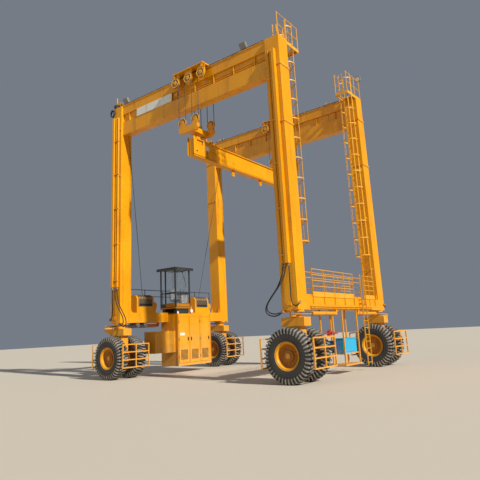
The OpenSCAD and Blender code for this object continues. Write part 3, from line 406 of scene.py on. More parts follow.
def new_group(name, inputs, outputs):
    """Empty shader node group with typed sockets. Gives the group, its web, what
    it takes in and what it puts out."""
    tree = bpy.data.node_groups.new(name, "ShaderNodeTree")
    for label, kind, value in inputs:
        socket = tree.interface.new_socket(label, in_out="INPUT", socket_type=kind)
        socket.default_value = value
    for label, kind in outputs:
        tree.interface.new_socket(label, in_out="OUTPUT", socket_type=kind)
    web = Web(tree)
    return tree, web, web.add("NodeGroupInput").outputs, web.add("NodeGroupOutput").inputs


COLOUR, VALUE = "NodeSocketColor", "NodeSocketFloat"

# What both groups put out
SURFACE = [("Colour", COLOUR), ("Roughness", VALUE), ("Height", VALUE)]

RUN_COLOUR = (0.16, 0.075, 0.022, 1)
RUST_COLOUR = (0.12, 0.035, 0.012, 1)


def weather_group():
    """Paint that has stood in the sun and dust. Two noises fade the colour, a
    noise drawn out downwards makes streaks, a fine one breaks into rust, and
    dust thickens towards the ground."""
    tree, web, given, end = new_group("Weathered paint", [
        ("Paint", COLOUR, (0.8, 0.4, 0.02, 1)), ("Faded", COLOUR, (0.9, 0.5, 0.1, 1)),
        ("Dust", COLOUR, (0.45, 0.36, 0.24, 1)), ("Fading", VALUE, 0.5),
        ("Streaks", VALUE, 0.3), ("Rust", VALUE, 0.2), ("Dust height", VALUE, 3.0),
        ("Gloss", VALUE, 0.4)], SURFACE)
    at = web.add("ShaderNodeTexCoord").outputs["Object"]
    wide = web.band(web.noise(at, 0.55, 4), 0.35, 0.68)
    small = web.band(web.noise(at, 6.0, 5), 0.35, 0.75)
    patches = web.times(web.plus(web.times(wide, 0.7), web.times(small, 0.3)), given["Fading"])
    colour = web.mix(patches, given["Paint"], given["Faded"])
    runs = web.band(web.noise(at, 5.0, 4, (1, 1, 0.07)), 0.52, 0.72)
    broken = web.band(web.noise(at, 1.3, 3), 0.3, 0.6)
    runs = web.times(web.times(runs, broken), given["Streaks"])
    colour = web.mix(runs, colour, RUN_COLOUR)
    rust = web.times(web.band(web.noise(at, 9.0, 8), 0.66, 0.71), given["Rust"], True)
    colour = web.mix(rust, colour, RUST_COLOUR)
    height = web.add("ShaderNodeSeparateXYZ", Vector=at).outputs["Z"]
    share = web.maths("DIVIDE", height, given["Dust height"], True)
    low = web.maths("SUBTRACT", 1.0, share, True)
    grime = web.times(web.times(low, web.band(web.noise(at, 3.0, 6), 0.25, 0.7)), 0.42)
    web.feed(end["Colour"], web.mix(grime, colour, given["Dust"]))
    rough = web.plus(given["Gloss"], web.times(small, 0.12))
    worn = web.maths("MAXIMUM", rust, grime)
    web.feed(end["Roughness"], web.plus(rough, web.times(worn, 0.35)))
    ripple = web.noise(at, 1.1, 2)
    web.feed(end["Height"], web.maths("SUBTRACT", ripple, web.times(rust, 0.3)))
    return tree


def rubber_group():
    """Tyre rubber. Two noises break up its dust, of which the tread's value
    adds more, and the fine one roughens it. On the lug tops the extra dust also
    stands for painted highlight."""
    tree, web, given, end = new_group("Dusty rubber", [
        ("Rubber", COLOUR, (0.02, 0.02, 0.02, 1)), ("Dust", COLOUR, (0.3, 0.27, 0.23, 1)),
        ("Tread", VALUE, 0.0)], SURFACE)
    at = web.add("ShaderNodeTexCoord").outputs["Object"]
    fine = web.noise(at, 22.0, 6)
    broad = web.noise(at, 2.5, 5)
    mask = web.band(web.plus(web.times(fine, 0.5), web.times(broad, 0.5)), 0.38, 0.62)
    amount = web.plus(0.1, web.times(given["Tread"], 0.62))
    mask = web.times(web.plus(web.times(mask, 0.5), 0.4), amount, True)
    web.feed(end["Colour"], web.mix(mask, given["Rubber"], given["Dust"]))
    web.feed(end["Roughness"], web.plus(0.62, web.times(mask, 0.3)))
    web.feed(end["Height"], fine)
    return tree


def new_material(name):
    """Empty material, its web and its shader."""
    material = bpy.data.materials.new(name)
    material.use_nodes = True
    return material, Web(material.node_tree), material.node_tree.nodes["Principled BSDF"]


def finish_material(name, group, inputs, metallic, bump, distance):
    """Material whose colour, roughness and height come from a shared group."""
    material, web, shader = new_material(name)
    node = web.add("ShaderNodeGroup")
    node.node_tree = GROUPS[group]
    for key, value in inputs.items():
        web.feed(node.inputs[key], value)
    web.feed(shader.inputs["Base Color"], node.outputs["Colour"])
    web.feed(shader.inputs["Roughness"], node.outputs["Roughness"])
    shader.inputs["Metallic"].default_value = metallic
    shader.inputs["Specular IOR Level"].default_value = 0.5 if metallic else 0.3
    relief = web.add("ShaderNodeBump", Strength=bump, Distance=distance,
                     Height=node.outputs["Height"])
    web.feed(shader.inputs["Normal"], relief.outputs[0])
    return material


def paint(name, colour, faded, fading, streaks, rust, dust_height, gloss=0.36, metallic=0.0):
    """A weathered paint of one colour."""
    return finish_material(name, "weather", {
        "Paint": (*colour, 1), "Faded": (*faded, 1), "Fading": fading, "Streaks": streaks,
        "Rust": rust, "Dust height": dust_height, "Gloss": gloss}, metallic, 0.25, 0.012)


def rubber(name, colour, dust, tread, bump, distance):
    """A dusty tyre rubber."""
    return finish_material(name, "rubber", {
        "Rubber": (*colour, 1), "Dust": (*dust, 1), "Tread": tread}, 0.0, bump, distance)


def glass_material():
    """Clear glass with a film of dust that a noise breaks up."""
    material, web, shader = new_material("Cab glass")
    at = web.add("ShaderNodeTexCoord").outputs["Object"]
    film = web.band(web.noise(at, 4.0, 6), 0.3, 0.8)
    web.feed(shader.inputs["Base Color"], web.mix(film, (0.82, 0.9, 0.92, 1), (0.7, 0.72, 0.68, 1)))
    web.feed(shader.inputs["Roughness"], web.plus(0.02, web.times(film, 0.1)))
    shader.inputs["Transmission Weight"].default_value = 0.95
    shader.inputs["IOR"].default_value = 1.1
    web.feed(shader.inputs["Alpha"], web.plus(0.16, web.times(film, 0.16)))
    return material


# Finishes with colours of their own: name, colour, faded colour, how far they have faded, run
# and rusted, how high dust lies in metres, roughness and metallic value
FINISHES = {
    "rail": ("Railing paint", (0.66, 0.3, 0.01), (0.76, 0.42, 0.05), 0.6, 0.2, 0.3, 1.0),
    "navy": ("Pump paint", (0.01, 0.045, 0.11), (0.02, 0.08, 0.16), 0.4, 0.3, 0.2, 1.2),
    "red": ("Red paint", (0.36, 0.03, 0.015), (0.45, 0.08, 0.04), 0.5, 0.3, 0.2, 1.0),
    "white": ("White enamel", (0.72, 0.71, 0.66), (0.6, 0.58, 0.5), 0.6, 0.3, 0.12, 1.0),
    "steel": ("Bare steel", (0.32, 0.31, 0.3), (0.2, 0.17, 0.14), 0.6, 0.2, 0.3, 1.0, 0.34, 0.85),
    "chrome": ("Rod chrome", (0.78, 0.79, 0.8), (0.7, 0.7, 0.69), 0.3, 0.05, 0.0, 0.1, 0.12, 1.0),
    "rope": ("Greased rope", (0.045, 0.042, 0.04), (0.09, 0.08, 0.07), 0.6, 0.1, 0.15, 0.1, 0.48,
             0.6),
    "hose": ("Hose rubber", (0.012, 0.012, 0.013), (0.05, 0.045, 0.04), 0.6, 0.1, 0.0, 2.0, 0.5),
    "seat": ("Seat shell", (0.2, 0.21, 0.23), (0.28, 0.28, 0.28), 0.4, 0.1, 0.0, 0.1, 0.5),
    "plastic": ("Black plastic", (0.015, 0.015, 0.016), (0.04, 0.04, 0.04), 0.4, 0.1, 0.0, 0.1,
                0.45),
    "lamp": ("Lamp housing", (0.2, 0.2, 0.2), (0.3, 0.29, 0.27), 0.5, 0.2, 0.1, 0.1, 0.4),
    # Under the cab: a darker copy of the orange, painted shade under the cab's floor
    "base": ("Cab base painted shade", (0.36, 0.13, 0.004), (0.46, 0.2, 0.01), 0.5, 0.3, 0.3, 0.1),
    "lens": ("Lamp lens", (0.75, 0.78, 0.8), (0.7, 0.7, 0.68), 0.4, 0.1, 0.0, 0.1, 0.15),
    "rim": ("Rim paint", (0.7, 0.29, 0.004), (0.74, 0.36, 0.02), 0.5, 0.1, 0.15, 0.6),
    # Inside the wheel's dish: a darker copy of the rim paint, painted shade of the deep dish with
    # some dirt
    "hub": ("Dish painted shade and dirt", (0.42, 0.15, 0.004), (0.26, 0.1, 0.015), 0.6, 0.2, 0.35, 0.9),
    # Sheave webs: a dark copy of the paint, painted shade of the web's recess over grease; the head
    # pulleys wear it too
    "web": ("Sheave web painted shade and grease", (0.2, 0.07, 0.006), (0.1, 0.04, 0.008), 0.7, 0.3, 0.4, 0.1),
    "ring": ("Sheave rim paint", (0.78, 0.4, 0.03), (0.7, 0.42, 0.1), 0.5, 0.1, 0.15, 0.1),
    "grille": ("Grille paint", (0.17, 0.14, 0.1), (0.26, 0.2, 0.13), 0.6, 0.2, 0.3, 0.1),
}

# Finishes of the nodes by how their names begin; the others wear the orange paint
NODE_FINISHES = {
    "wheel_": "side_wall", "hoist_ropes": "rope", "fixed_ropes": "rope", "hoses": "hose",
    "steer_rod": "chrome", "cab": "dark", "railing_left": "dark", "blue_cabinet": "blue",
    "pump_set": "navy", "red_manifold": "red", "air_tanks": "steel", "floodlights": "lamp",
    "blank_board": "white", "operator_seat": "seat", "trolley": "trolley",
    "hook_block": "trolley", "walkway": "rail", "ground_ladder": "rail", "caged_ladder": "rail",
}


def make_materials(colours):
    """All the materials, from the colours in the panel and the table of finishes."""
    GROUPS["weather"] = weather_group()
    GROUPS["rubber"] = rubber_group()
    for key, row in FINISHES.items():
        MAT[key] = paint(*row)
    main, faded, tyre = tuple(colours.paint), tuple(colours.faded), tuple(colours.rubber)
    MAT["orange"] = paint("Orange paint", main, faded, 0.55, 0.35, 0.25, 3.0)
    MAT["trolley"] = paint("Trolley paint", main, faded, 0.4, 0.5, 0.35, 0.1)
    MAT["dark"] = paint("Dark paint", tuple(colours.dark), (0.05, 0.055, 0.06), 0.5, 0.15, 0.15,
                        0.1, 0.42)
    MAT["blue"] = paint("Blue paint", tuple(colours.blue), (0.06, 0.42, 0.6), 0.4, 0.25, 0.1, 1.0)
    MAT["side_wall"] = rubber("Tyre side wall", tyre, (0.3, 0.27, 0.23), 0.0, 0.25, 0.004)
    # Lug tops: dust, made lighter also as painted highlight where the sun catches them
    MAT["tread"] = rubber("Tyre tread dust and painted highlight", tyre, (0.44, 0.4, 0.34), 1.0, 0.4, 0.006)
    # Grooves: near-black, painted shade at the floor of the grooves between the lugs
    MAT["groove"] = rubber("Tyre groove painted shade", (0.012, 0.012, 0.013), (0.16, 0.14, 0.12), 0.25, 0.3,
                           0.006)
    MAT["glass"] = glass_material()


def node_material(name):
    """Which material a node wears."""
    for start, finish in NODE_FINISHES.items():
        if name.startswith(start):
            return MAT[finish]
    return MAT["orange"]


# Pieces


# Right half of the tyre, as (place across, depth under the tread): the floor of the grooves,
# the tops of the lugs, and the side wall that both run into
TYRE_FLOOR = [(0, 0.062), (0.03, 0.062), (0.09, 0.064), (0.15, 0.068), (0.2, 0.076),
              (0.235, 0.095), (0.258, 0.135), (0.27, 0.19), (0.277, 0.25)]
TYRE_TOP = [(0, 0.0), (0.03, 0.0), (0.09, 0.001), (0.15, 0.004), (0.2, 0.012),
            (0.243, 0.028), (0.268, 0.07), (0.277, 0.14), (0.279, 0.215)]
TYRE_WALL = [(0.28, 0.3), (0.28, 0.35), (0.276, 0.4), (0.269, 0.44), (0.262, 0.462),
             (0.262, 0.47), (0.25, 0.478), (0.246, 0.492), (0.235, 0.51)]

# Share of a pitch that each point is turned by, so that the lugs lean and the two rows are
# staggered, and the places within a pitch where the surface is groove (0) or lug (1)
LUG_LEAN = [0.0, 0.25, 0.27, 0.31, 0.37, 0.43, 0.47, 0.5, 0.5] + [0.5] * len(TYRE_WALL)
LUG_BEATS = np.array([0.0, 0.055, 0.3, 0.545, 0.6, 0.8])
LUG_MASK = np.array([0.0, 1.0, 1.0, 1.0, 0.0, 0.0])
LUGS = 40
BEAD_R = 0.485

# How far from the middle column the tread's columns reach
TREAD_COLUMNS = 8.2


def both_halves(half):
    """A profile given from the middle out, continued over the other side."""
    return np.array([(-y, depth) for y, depth in half[:0:-1]] + half)


def tyre_part():
    """Tyre with two staggered rows of lugs. At angle a and place j across the
    tread the surface stands between the groove's floor and the lug's top, by a
    mask of the place within the pitch, and each row leans outward. Gives the
    points, the faces and the number of columns."""
    low, high = both_halves(TYRE_FLOOR + TYRE_WALL), both_halves(TYRE_TOP + TYRE_WALL)
    lean = np.array([-t for t in LUG_LEAN[:0:-1]] + LUG_LEAN)
    share = (np.arange(LUGS)[:, None] + LUG_BEATS[None]).ravel()
    angle = (share[:, None] + lean[None]) * (2 * math.pi / LUGS)
    m = np.tile(LUG_MASK, LUGS)[:, None]
    y, depth = (low[:, k] * (1 - m) + high[:, k] * m for k in (0, 1))
    r = TYRE_R - depth
    points = np.stack([r * np.sin(angle), y, r * np.cos(angle)], -1)
    ends = [0, -1]
    inner = np.stack([BEAD_R * np.sin(angle[:, ends]), y[:, ends] * 0.9,
                      BEAD_R * np.cos(angle[:, ends])], -1)
    points = np.concatenate([inner[:, :1], points, inner[:, 1:]], 1)
    rows, columns, _ = points.shape
    return points.reshape(-1, 3), grid_faces(rows, columns, close_rows=True), columns


# Front and back of the rim, as (distance from the axle, place along it)
RIM = [(0.0, 0.155), (0.085, 0.155), (0.1, 0.149), (0.105, 0.135), (0.108, 0.118), (0.19, 0.112),
       (0.2, 0.104), (0.204, 0.09), (0.21, 0.06), (0.216, 0.045), (0.25, 0.038), (0.262, 0.03),
       (0.31, 0.024), (0.322, 0.028), (0.345, 0.05), (0.39, 0.09), (0.412, 0.115), (0.42, 0.13),
       (0.424, 0.175), (0.44, 0.19), (0.45, 0.205), (0.458, 0.222), (0.47, 0.226), (0.478, 0.218),
       (0.484, 0.222), (0.498, 0.244), (0.51, 0.25), (0.522, 0.246), (0.526, 0.236), (0.52, 0.228),
       (0.5, 0.222), (0.495, 0.2)]
RIM_BACK = [(0.495, -0.2), (0.5, -0.222), (0.52, -0.228), (0.526, -0.236), (0.522, -0.246),
            (0.51, -0.25), (0.498, -0.244), (0.484, -0.215), (0.45, -0.19), (0.42, -0.13),
            (0.345, -0.11), (0.265, -0.13), (0.25, -0.2), (0.23, -0.235), (0.12, -0.24)]
# Inside this distance from the axle the rim takes the darker paint: painted shade of the deep dish,
# with some dirt
DISH_R = 0.418

# Distance of the tyres' middles from the turning pin
TWIN_Y = 0.58


def dress_wheel(body, cx, cy, side):
    """Tyre, rim and nuts of one wheel, its dish towards the given side."""
    at = np.array((cx, cy, TYRE_R))
    points, faces, columns = tyre_part()
    points, faces = mirrored((points, faces), side)
    piece = add_mesh("tyre_" + body, points + at, faces, MAT["side_wall"], body)
    # Second material: the lug tops' dust and painted highlight
    piece.data.materials.append(MAT["tread"])
    # Third material: the grooves' painted shade
    piece.data.materials.append(MAT["groove"])
    number = np.arange(len(piece.data.polygons))
    column, beat = number % (columns - 1), number // (columns - 1) % len(LUG_BEATS)
    on_tread = np.abs(column + 0.5 - (columns - 1) / 2) < TREAD_COLUMNS
    # Faces between the lugs take the grooves' painted shade
    in_groove_shade = (LUG_MASK * np.roll(LUG_MASK, -1))[beat] == 0
    kind = np.where(on_tread, 1 + in_groove_shade, 0).astype(np.int32)
    piece.data.polygons.foreach_set("material_index", kind)
    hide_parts(body)
    parts = [revolve(RIM[::-1], "y", 96), revolve(RIM_BACK[::-1], "y", 96)]
    parts += nut_ring((0, 0.026, 0), "y", 1, 0.285, 12, 0.036, 0.026, 0)
    parts += nut_ring((0, 0.114, 0), "y", 1, 0.155, 8, 0.02, 0.012)
    points, faces = mirrored(join_parts(parts), side)
    rim = add_mesh("rim_" + body, points + at, faces, MAT["rim"], body)
    rim.data.materials.append(MAT["hub"])
    # Faces inside the dish take the darker paint, painted shade of the dish's hollow with some dirt
    in_dish_shade = [np.hypot(*(points[list(f)].mean(0)[[0, 2]])) < DISH_R for f in faces]
    rim.data.polygons.foreach_set("material_index", np.array(in_dish_shade, np.int32))
    crisp(rim)


def dress_tyres():
    """The eight wheels, two on each bogie."""
    for name, sx, sy in CORNERS:
        for row, out in (("outer", 1), ("inner", -1)):
            dress_wheel("wheel_%s_%s" % (name, row), sx * PIN_X, sy * (PIN_Y + out * TWIN_Y),
                        sy * out)


def rope_arc(x, y, z, begin, finish):
    """Points 0.1 radians apart on an arc round a sheave, angles from +X towards +Z."""
    n = max(3, int(abs(finish - begin) / 0.1))
    a = np.linspace(begin, finish, n)
    return np.stack([x + SHEAVE_R * np.cos(a), np.full(n, y), z + SHEAVE_R * np.sin(a)], -1)


def strand(path, radius=0.015):
    """Rope of six strands that turn once in 0.2 m, along a path."""
    return tube(path, radius, 18, 2 * math.pi / 0.2, 6, radius * 0.28)


def dress_ropes():
    """Falls between the sheaves, the turns round the sheaves above and below,
    and the fixed ropes along the girders and down to the winches."""
    for name, sy in SIDES:
        falls, upper, lower = [], [], []
        for c in (-1, 1):
            y = sy * PIN_Y + c * SHEAVE_Y
            for k in (-3, -1, 1, 3):
                x = TROLLEY_X + k * SHEAVE_R
                falls.append(strand(straight_path((x, y, UPPER_Z), (x, y, LOWER_Z), 0.028)))
            for k in (-1, 0, 1):
                x = TROLLEY_X + k * 4 * SHEAVE_R
                path = rope_arc(x, y, UPPER_Z, 0, math.pi if k == 0 else math.pi * 0.62)
                if k > 0:
                    path[:, 0] = 2 * x - path[:, 0]
                upper.append(strand(path))
            for k in (-2, 2):
                x = TROLLEY_X + k * SHEAVE_R
                lower.append(strand(rope_arc(x, y, LOWER_Z, math.pi, 2 * math.pi)))
        piece = add_parts("rope_falls_" + name, falls, "rope", None)
        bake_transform(piece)
        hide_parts("hoist_ropes_" + name)
        for label, parts, body in (("upper", upper, "trolley_"), ("lower", lower, "hook_")):
            add_parts("rope_turns_%s_%s" % (label, name), parts, "rope", body + name)
    runs = []
    low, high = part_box("fixed_ropes")
    top = high.z - 0.012
    for (_, sy), winch in zip(SIDES, WINCH_Y):
        for c in (-0.06, 0.06):
            y = sy * PIN_Y + c
            runs.append(strand(straight_path((low.x, y, top), (high.x, y, top)), 0.012))
        runs.append(strand(straight_path((-4.52, sy * PIN_Y, GIRDER_LOW - 0.0035),
                                     (-5.0, winch, 4.0535)), 0.013))
    piece = add_parts("fixed_rope_strands", runs, "rope")
    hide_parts("fixed_ropes")


# Hoses from a leg's conduits to the sill, as the points that they follow where x and y are
# positive: two swing in towards the crane's middle and back, and one drops on the outer side
HOSE_D = 0.046
LOOP_A = [(4.875, 4.27, 4.3997), (4.875, 4.27, 4.35), (4.87, 4.275, 4.15), (4.81, 4.295, 3.88),
          (4.6, 4.335, 3.48), (4.3, 4.37, 3.12), (4.11, 4.38, 2.85), (4.07, 4.37, 2.65),
          (4.16, 4.33, 2.51), (4.38, 4.27, 2.45), (4.57, 4.2, 2.505), (4.67, 4.17, 2.58),
          (4.735, 4.165, 2.59), (4.7597, 4.165, 2.59)]
LOOP_B = [(5.005, 4.27, 4.3997), (5.005, 4.27, 4.35), (4.998, 4.28, 4.15), (4.93, 4.325, 3.88),
          (4.72, 4.395, 3.52), (4.43, 4.44, 3.18), (4.23, 4.46, 2.92), (4.18, 4.45, 2.72),
          (4.26, 4.41, 2.59), (4.44, 4.35, 2.53), (4.59, 4.305, 2.548), (4.67, 4.275, 2.584),
          (4.735, 4.27, 2.59), (4.7597, 4.27, 2.59)]
DROP = [(5.19, 4.3, 4.3997), (5.19, 4.3, 3.9), (5.188, 4.3, 3.4), (5.19, 4.302, 3.08),
        (5.23, 4.31, 2.88), (5.33, 4.3, 2.79), (5.43, 4.26, 2.81), (5.47, 4.195, 2.875),
        (5.47, 4.14, 2.92), (5.47, 4.1103, 2.92)]


def hose_sleeve(path):
    """Sleeve over the first 0.14 m of a hose: a collar, two ridges and a taper,
    a tube whose radius is listed at places along the hose."""
    run = lengths_along(path)
    place = [0, 0.03, 0.032, 0.05, 0.054, 0.066, 0.07, 0.082, 0.086, 0.1, 0.14]
    radius = [0.036, 0.036, 0.033, 0.032, 0.035, 0.035, 0.031, 0.031, 0.034, 0.029, 0.0245]
    line = np.stack([np.interp(place, run, path[:, k]) for k in range(3)], -1)
    return tube(line, radius, 16)


def dress_hoses():
    """Hoses that hang from the legs' conduits, each one a cord with a tapered
    sleeve at both ends."""
    for name, sx, sy in CORNERS:
        for k, route in enumerate([LOOP_A, LOOP_B, DROP] if sy < 0 else [DROP]):
            route = np.array(route) * (sx, sy, 1)
            fine, coarse = smooth_path(route, 0.03), smooth_path(route, 0.12)
            hose = add_parts("hose_%s_%d" % (name, k), [tube(fine, HOSE_D / 2, 20)], "hose")
            sleeve = add_parts("hose_sleeves_%s_%d" % (name, k),
                               [hose_sleeve(fine), hose_sleeve(fine[::-1])], "steel")
            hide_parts("hoses_" + name)


# Front face of the power house, the near end of its doors, their width, and their foot and head
HOUSE_X, HOUSE_Y = -4.0, -0.93
DOOR_W = 2.5 / 3
DOOR_LOW, DOOR_HIGH = 0.5, 2.93


def dress_house():
    """Dark louvre panels of painted shade, hinges, grips, a beacon's lens and a
    work lamp on the power house.
    """
    x = HOUSE_X
    dark, bright = [], []
    for k in range(3):
        a = HOUSE_Y + 0.05 + k * DOOR_W + 0.0125
        b = a + DOOR_W - 0.025
        # Dark panel on each door: painted shade of the louvre's openings
        dark.append(slab((x + 0.015, a + 0.14, DOOR_LOW + 0.14),
                         (x + 0.0235, b - 0.14, DOOR_LOW + 0.67), 0.002))
        hinge, grip, away = (a, b - 0.11, 0.03) if k % 2 == 0 else (b, a + 0.11, -0.03)
        for z in (DOOR_LOW + 0.3, (DOOR_LOW + DOOR_HIGH) / 2, DOOR_HIGH - 0.3):
            pin = straight_path((x + 0.045, hinge, z - 0.07), (x + 0.045, hinge, z + 0.07), 0.07)
            bright.append(tube(pin, 0.013, 12))
            for zz in (z - 0.04, z + 0.04):
                bright.append(bolt((x + 0.0345, hinge + away, zz), "x", 1, 0.012, 0.006))
        dark.append(slab((x + 0.02, grip - 0.03, 1.62), (x + 0.03, grip + 0.03, 1.82)))
        bow = [(x + 0.028, grip, 1.65), (x + 0.065, grip, 1.67), (x + 0.065, grip, 1.77),
               (x + 0.028, grip, 1.79)]
        dark.append(tube(smooth_path(bow, 0.02), 0.009, 10))
    add_parts("house_louvre_shade_and_grips", dark, "plastic", smooth=False)
    add_parts("house_hinges", bright, "steel", smooth=False)
    lens = revolve([(0.0, 0.137), (0.026, 0.133), (0.042, 0.115), (0.048, 0.085), (0.048, 0.005)],
                   "z", 32, (x - 0.055, HOUSE_Y + 0.08, 3.05))
    add_parts("beacon_lens", [lens], "lens")
    bowl = revolve([(0.0, -0.1), (0.03, -0.1), (0.045, -0.085), (0.08, -0.05), (0.1, -0.01),
                    (0.104, 0.012), (0.098, 0.014), (0.09, 0.004), (0.0, 0.01)], "x", 40,
                   (x - 0.06, 0.24, 3.2))
    stem = [(x - 0.12, 0.24, 3.05), (x - 0.12, 0.24, 3.1), (x - 0.11, 0.24, 3.16)]
    add_parts("work_lamp", [bowl, tube(smooth_path(stem, 0.03), 0.014, 10)], "white")


# Heights of the legs' collars, and their bolts: how far out both rows stand, where each row
# begins, its step and its number
COLLARS = (10.22, 12.8)
COLLAR_X, COLLAR_Y = 5.426, 4.231
COLLAR_X0, COLLAR_Y0 = 4.77, 3.575
COLLAR_STEP, COLLAR_BOLTS = 0.116, 6


def dress_bolts():
    """Bolts round the collars of the legs and at their feet, a nut on the
    turning pins, and the nuts on the clamps of the pipes."""
    parts = []
    for _, sx, sy in CORNERS:
        for z in COLLARS:
            for s in (1, -1):
                for k in range(COLLAR_BOLTS):
                    for x, y in ((COLLAR_X, COLLAR_Y0 + k * COLLAR_STEP),
                                 (COLLAR_X0 + k * COLLAR_STEP, COLLAR_Y)):
                        parts.append(bolt((sx * x, sy * y, z + s * 0.035), "z", s, 0.022, 0.014))
        for k in range(5):
            foot = (sx * (4.8 + k * 0.13), sy * 3.44, SILL_TOP + 0.02)
            parts.append(bolt(foot, "z", 1, 0.03, 0.02))
        parts += nut_ring((sx * PIN_X, sy * PIN_Y, 2.40), "z", 1, 0.01, 1, 0.05, 0.02)
        for z in np.arange(4.7, 13.4, 1.86):
            for x in (4.83, 4.945, 5.08):
                parts.append(bolt((sx * x, sy * 4.345, z + 0.025), "y", sy, 0.02, 0.014))
    add_parts("collar_bolts", parts, "steel", smooth=False)


def bead(start, end, radius=0.007):
    """Weld bead on a line: a tube whose radius is r and 0.8 r in turn, at
    points 35 mm apart."""
    path = straight_path(start, end, 0.035)
    return tube(path, radius * (0.8 + 0.2 * (np.arange(len(path)) % 2)), 6)


def dress_welds():
    """Beads along the foot of the girders' webs, at the girders' ends and along
    two edges of each leg."""
    parts = []
    ledge = GIRDER_LOW + 0.73
    for _, sy in SIDES:
        for s in (-1, 1):
            y = sy * PIN_Y + s * (0.15 + 0.002)
            parts.append(bead((-4.7, y, ledge + 0.003), (4.7, y, ledge + 0.003)))
        for sx in (-1, 1):
            for s in (-1, 1):
                x, y = sx * 4.705, sy * PIN_Y + s * 0.23
                parts.append(bead((x, y, GIRDER_LOW + 0.01), (x, y, ledge), 0.009))
    for _, sx, sy in CORNERS:
        for x in (4.712, 5.408):
            for low, high in ((10.3, 12.7), (3.2, 10.1)):
                parts.append(bead((sx * x, sy * 4.213, low), (sx * x, sy * 4.213, high), 0.008))
    add_parts("weld_beads", parts, "orange")


def dress_cylinders():
    """End caps, gland nuts, ports and pipes on the steering cylinders."""
    for name, sx, sy in CORNERS:
        low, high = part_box("steer_barrel_" + name)
        x, z = (low.x + high.x) / 2, (low.z + high.z) / 2
        start, end = (low.y, high.y) if sy > 0 else (high.y, low.y)
        parts = []
        for y, r, w in ((end, 0.0765, 0.05), (end - sy * 0.06, 0.081, 0.03),
                        (start + sy * 0.2, 0.081, 0.035)):
            collar = [(0.045, 0), (r - 0.006, 0), (r, 0.006), (r, w - 0.006), (r - 0.006, w),
                      (0.045, w)]
            parts.append(turned_part(collar, sy, (x, y - sy * (w - 0.001), z), 40))
        parts += nut_ring((x, end, z), "y", sy, 0.059, 8, 0.012, 0.009)
        side = x - sx * 0.045
        front, back = start + sy * 0.3, end - sy * 0.14
        for y in (front, back):
            parts.append(slab((side - 0.022, y - 0.022, z - 0.1),
                              (side + 0.022, y + 0.022, z - 0.05), 0.004))
        pipe = [(side, back, z - 0.09), (side, end - sy * 0.2, z - 0.1),
                (side, (start + end) / 2, z - 0.1), (side, start + sy * 0.36, z - 0.1),
                (side, front, z - 0.09)]
        parts.append(tube(smooth_path(pipe, 0.05), 0.009, 10))
        piece = add_parts("cylinder_fittings_" + name, parts, "orange", "barrel_" + name)
        crisp(piece)


# Rings on the sheaves' faces, as (distance from the axle, height over the face): rim, web,
# whose dark finish is painted shade of the web's recess over grease, lightening hole, a dark
# disc of painted shade, its lip, and the collar round the axle
SHEAVE_RING = [(0.198, 0.0), (0.203, 0.003), (0.234, 0.0035), (0.2385, 0.0)]
SHEAVE_WEB_SHADE = [(0.09, 0.0), (0.093, 0.0018), (0.196, 0.0018), (0.1985, 0.0)]
HOLE_SHADE = [(0.0, 0.003), (0.026, 0.003), (0.029, 0.0)]
HOLE_LIP = [(0.027, 0.0018), (0.029, 0.006), (0.035, 0.006), (0.037, 0.0018)]
AXLE_COLLAR = [(0.081, 0.0), (0.081, 0.012), (0.1, 0.01), (0.104, 0.0018)]
HOLE_R = 0.145

# Rope keepers: distance from the axle, and the angles where each begins and ends, in degrees,
# by the sheave's place in its row
KEEPER_R = 0.262
KEEPER_SPANS = {-4: (128, 255), 0: (232, 308), 4: (52, -75)}


def face_ring(ring, at, out, rise=1.0):
    """A turned ring on a face that looks along Y, its heights made larger by rise."""
    return turned_part([(r, h * rise) for r, h in ring], out, at, 64)


def keeper(x, y, z, begin, finish):
    """Rope keeper: a flat bar bent to a circle round the sheave, from angle
    begin to finish from +X towards +Z. Gives the bar and the starts of its two
    pins, which lie on its underside."""
    a = np.radians(np.linspace(begin, finish, 16))
    ways = np.stack([np.cos(a), np.zeros(16), np.sin(a)], -1)
    axle = np.array((x, y, z))
    points, faces = strap(0.056, 0, 0.008, axle + ways * KEEPER_R, ways)
    bar = (points, faces if finish > begin else flipped(faces))
    return bar, [axle + ways[k] * (KEEPER_R - 0.008) for k in (1, -2)]


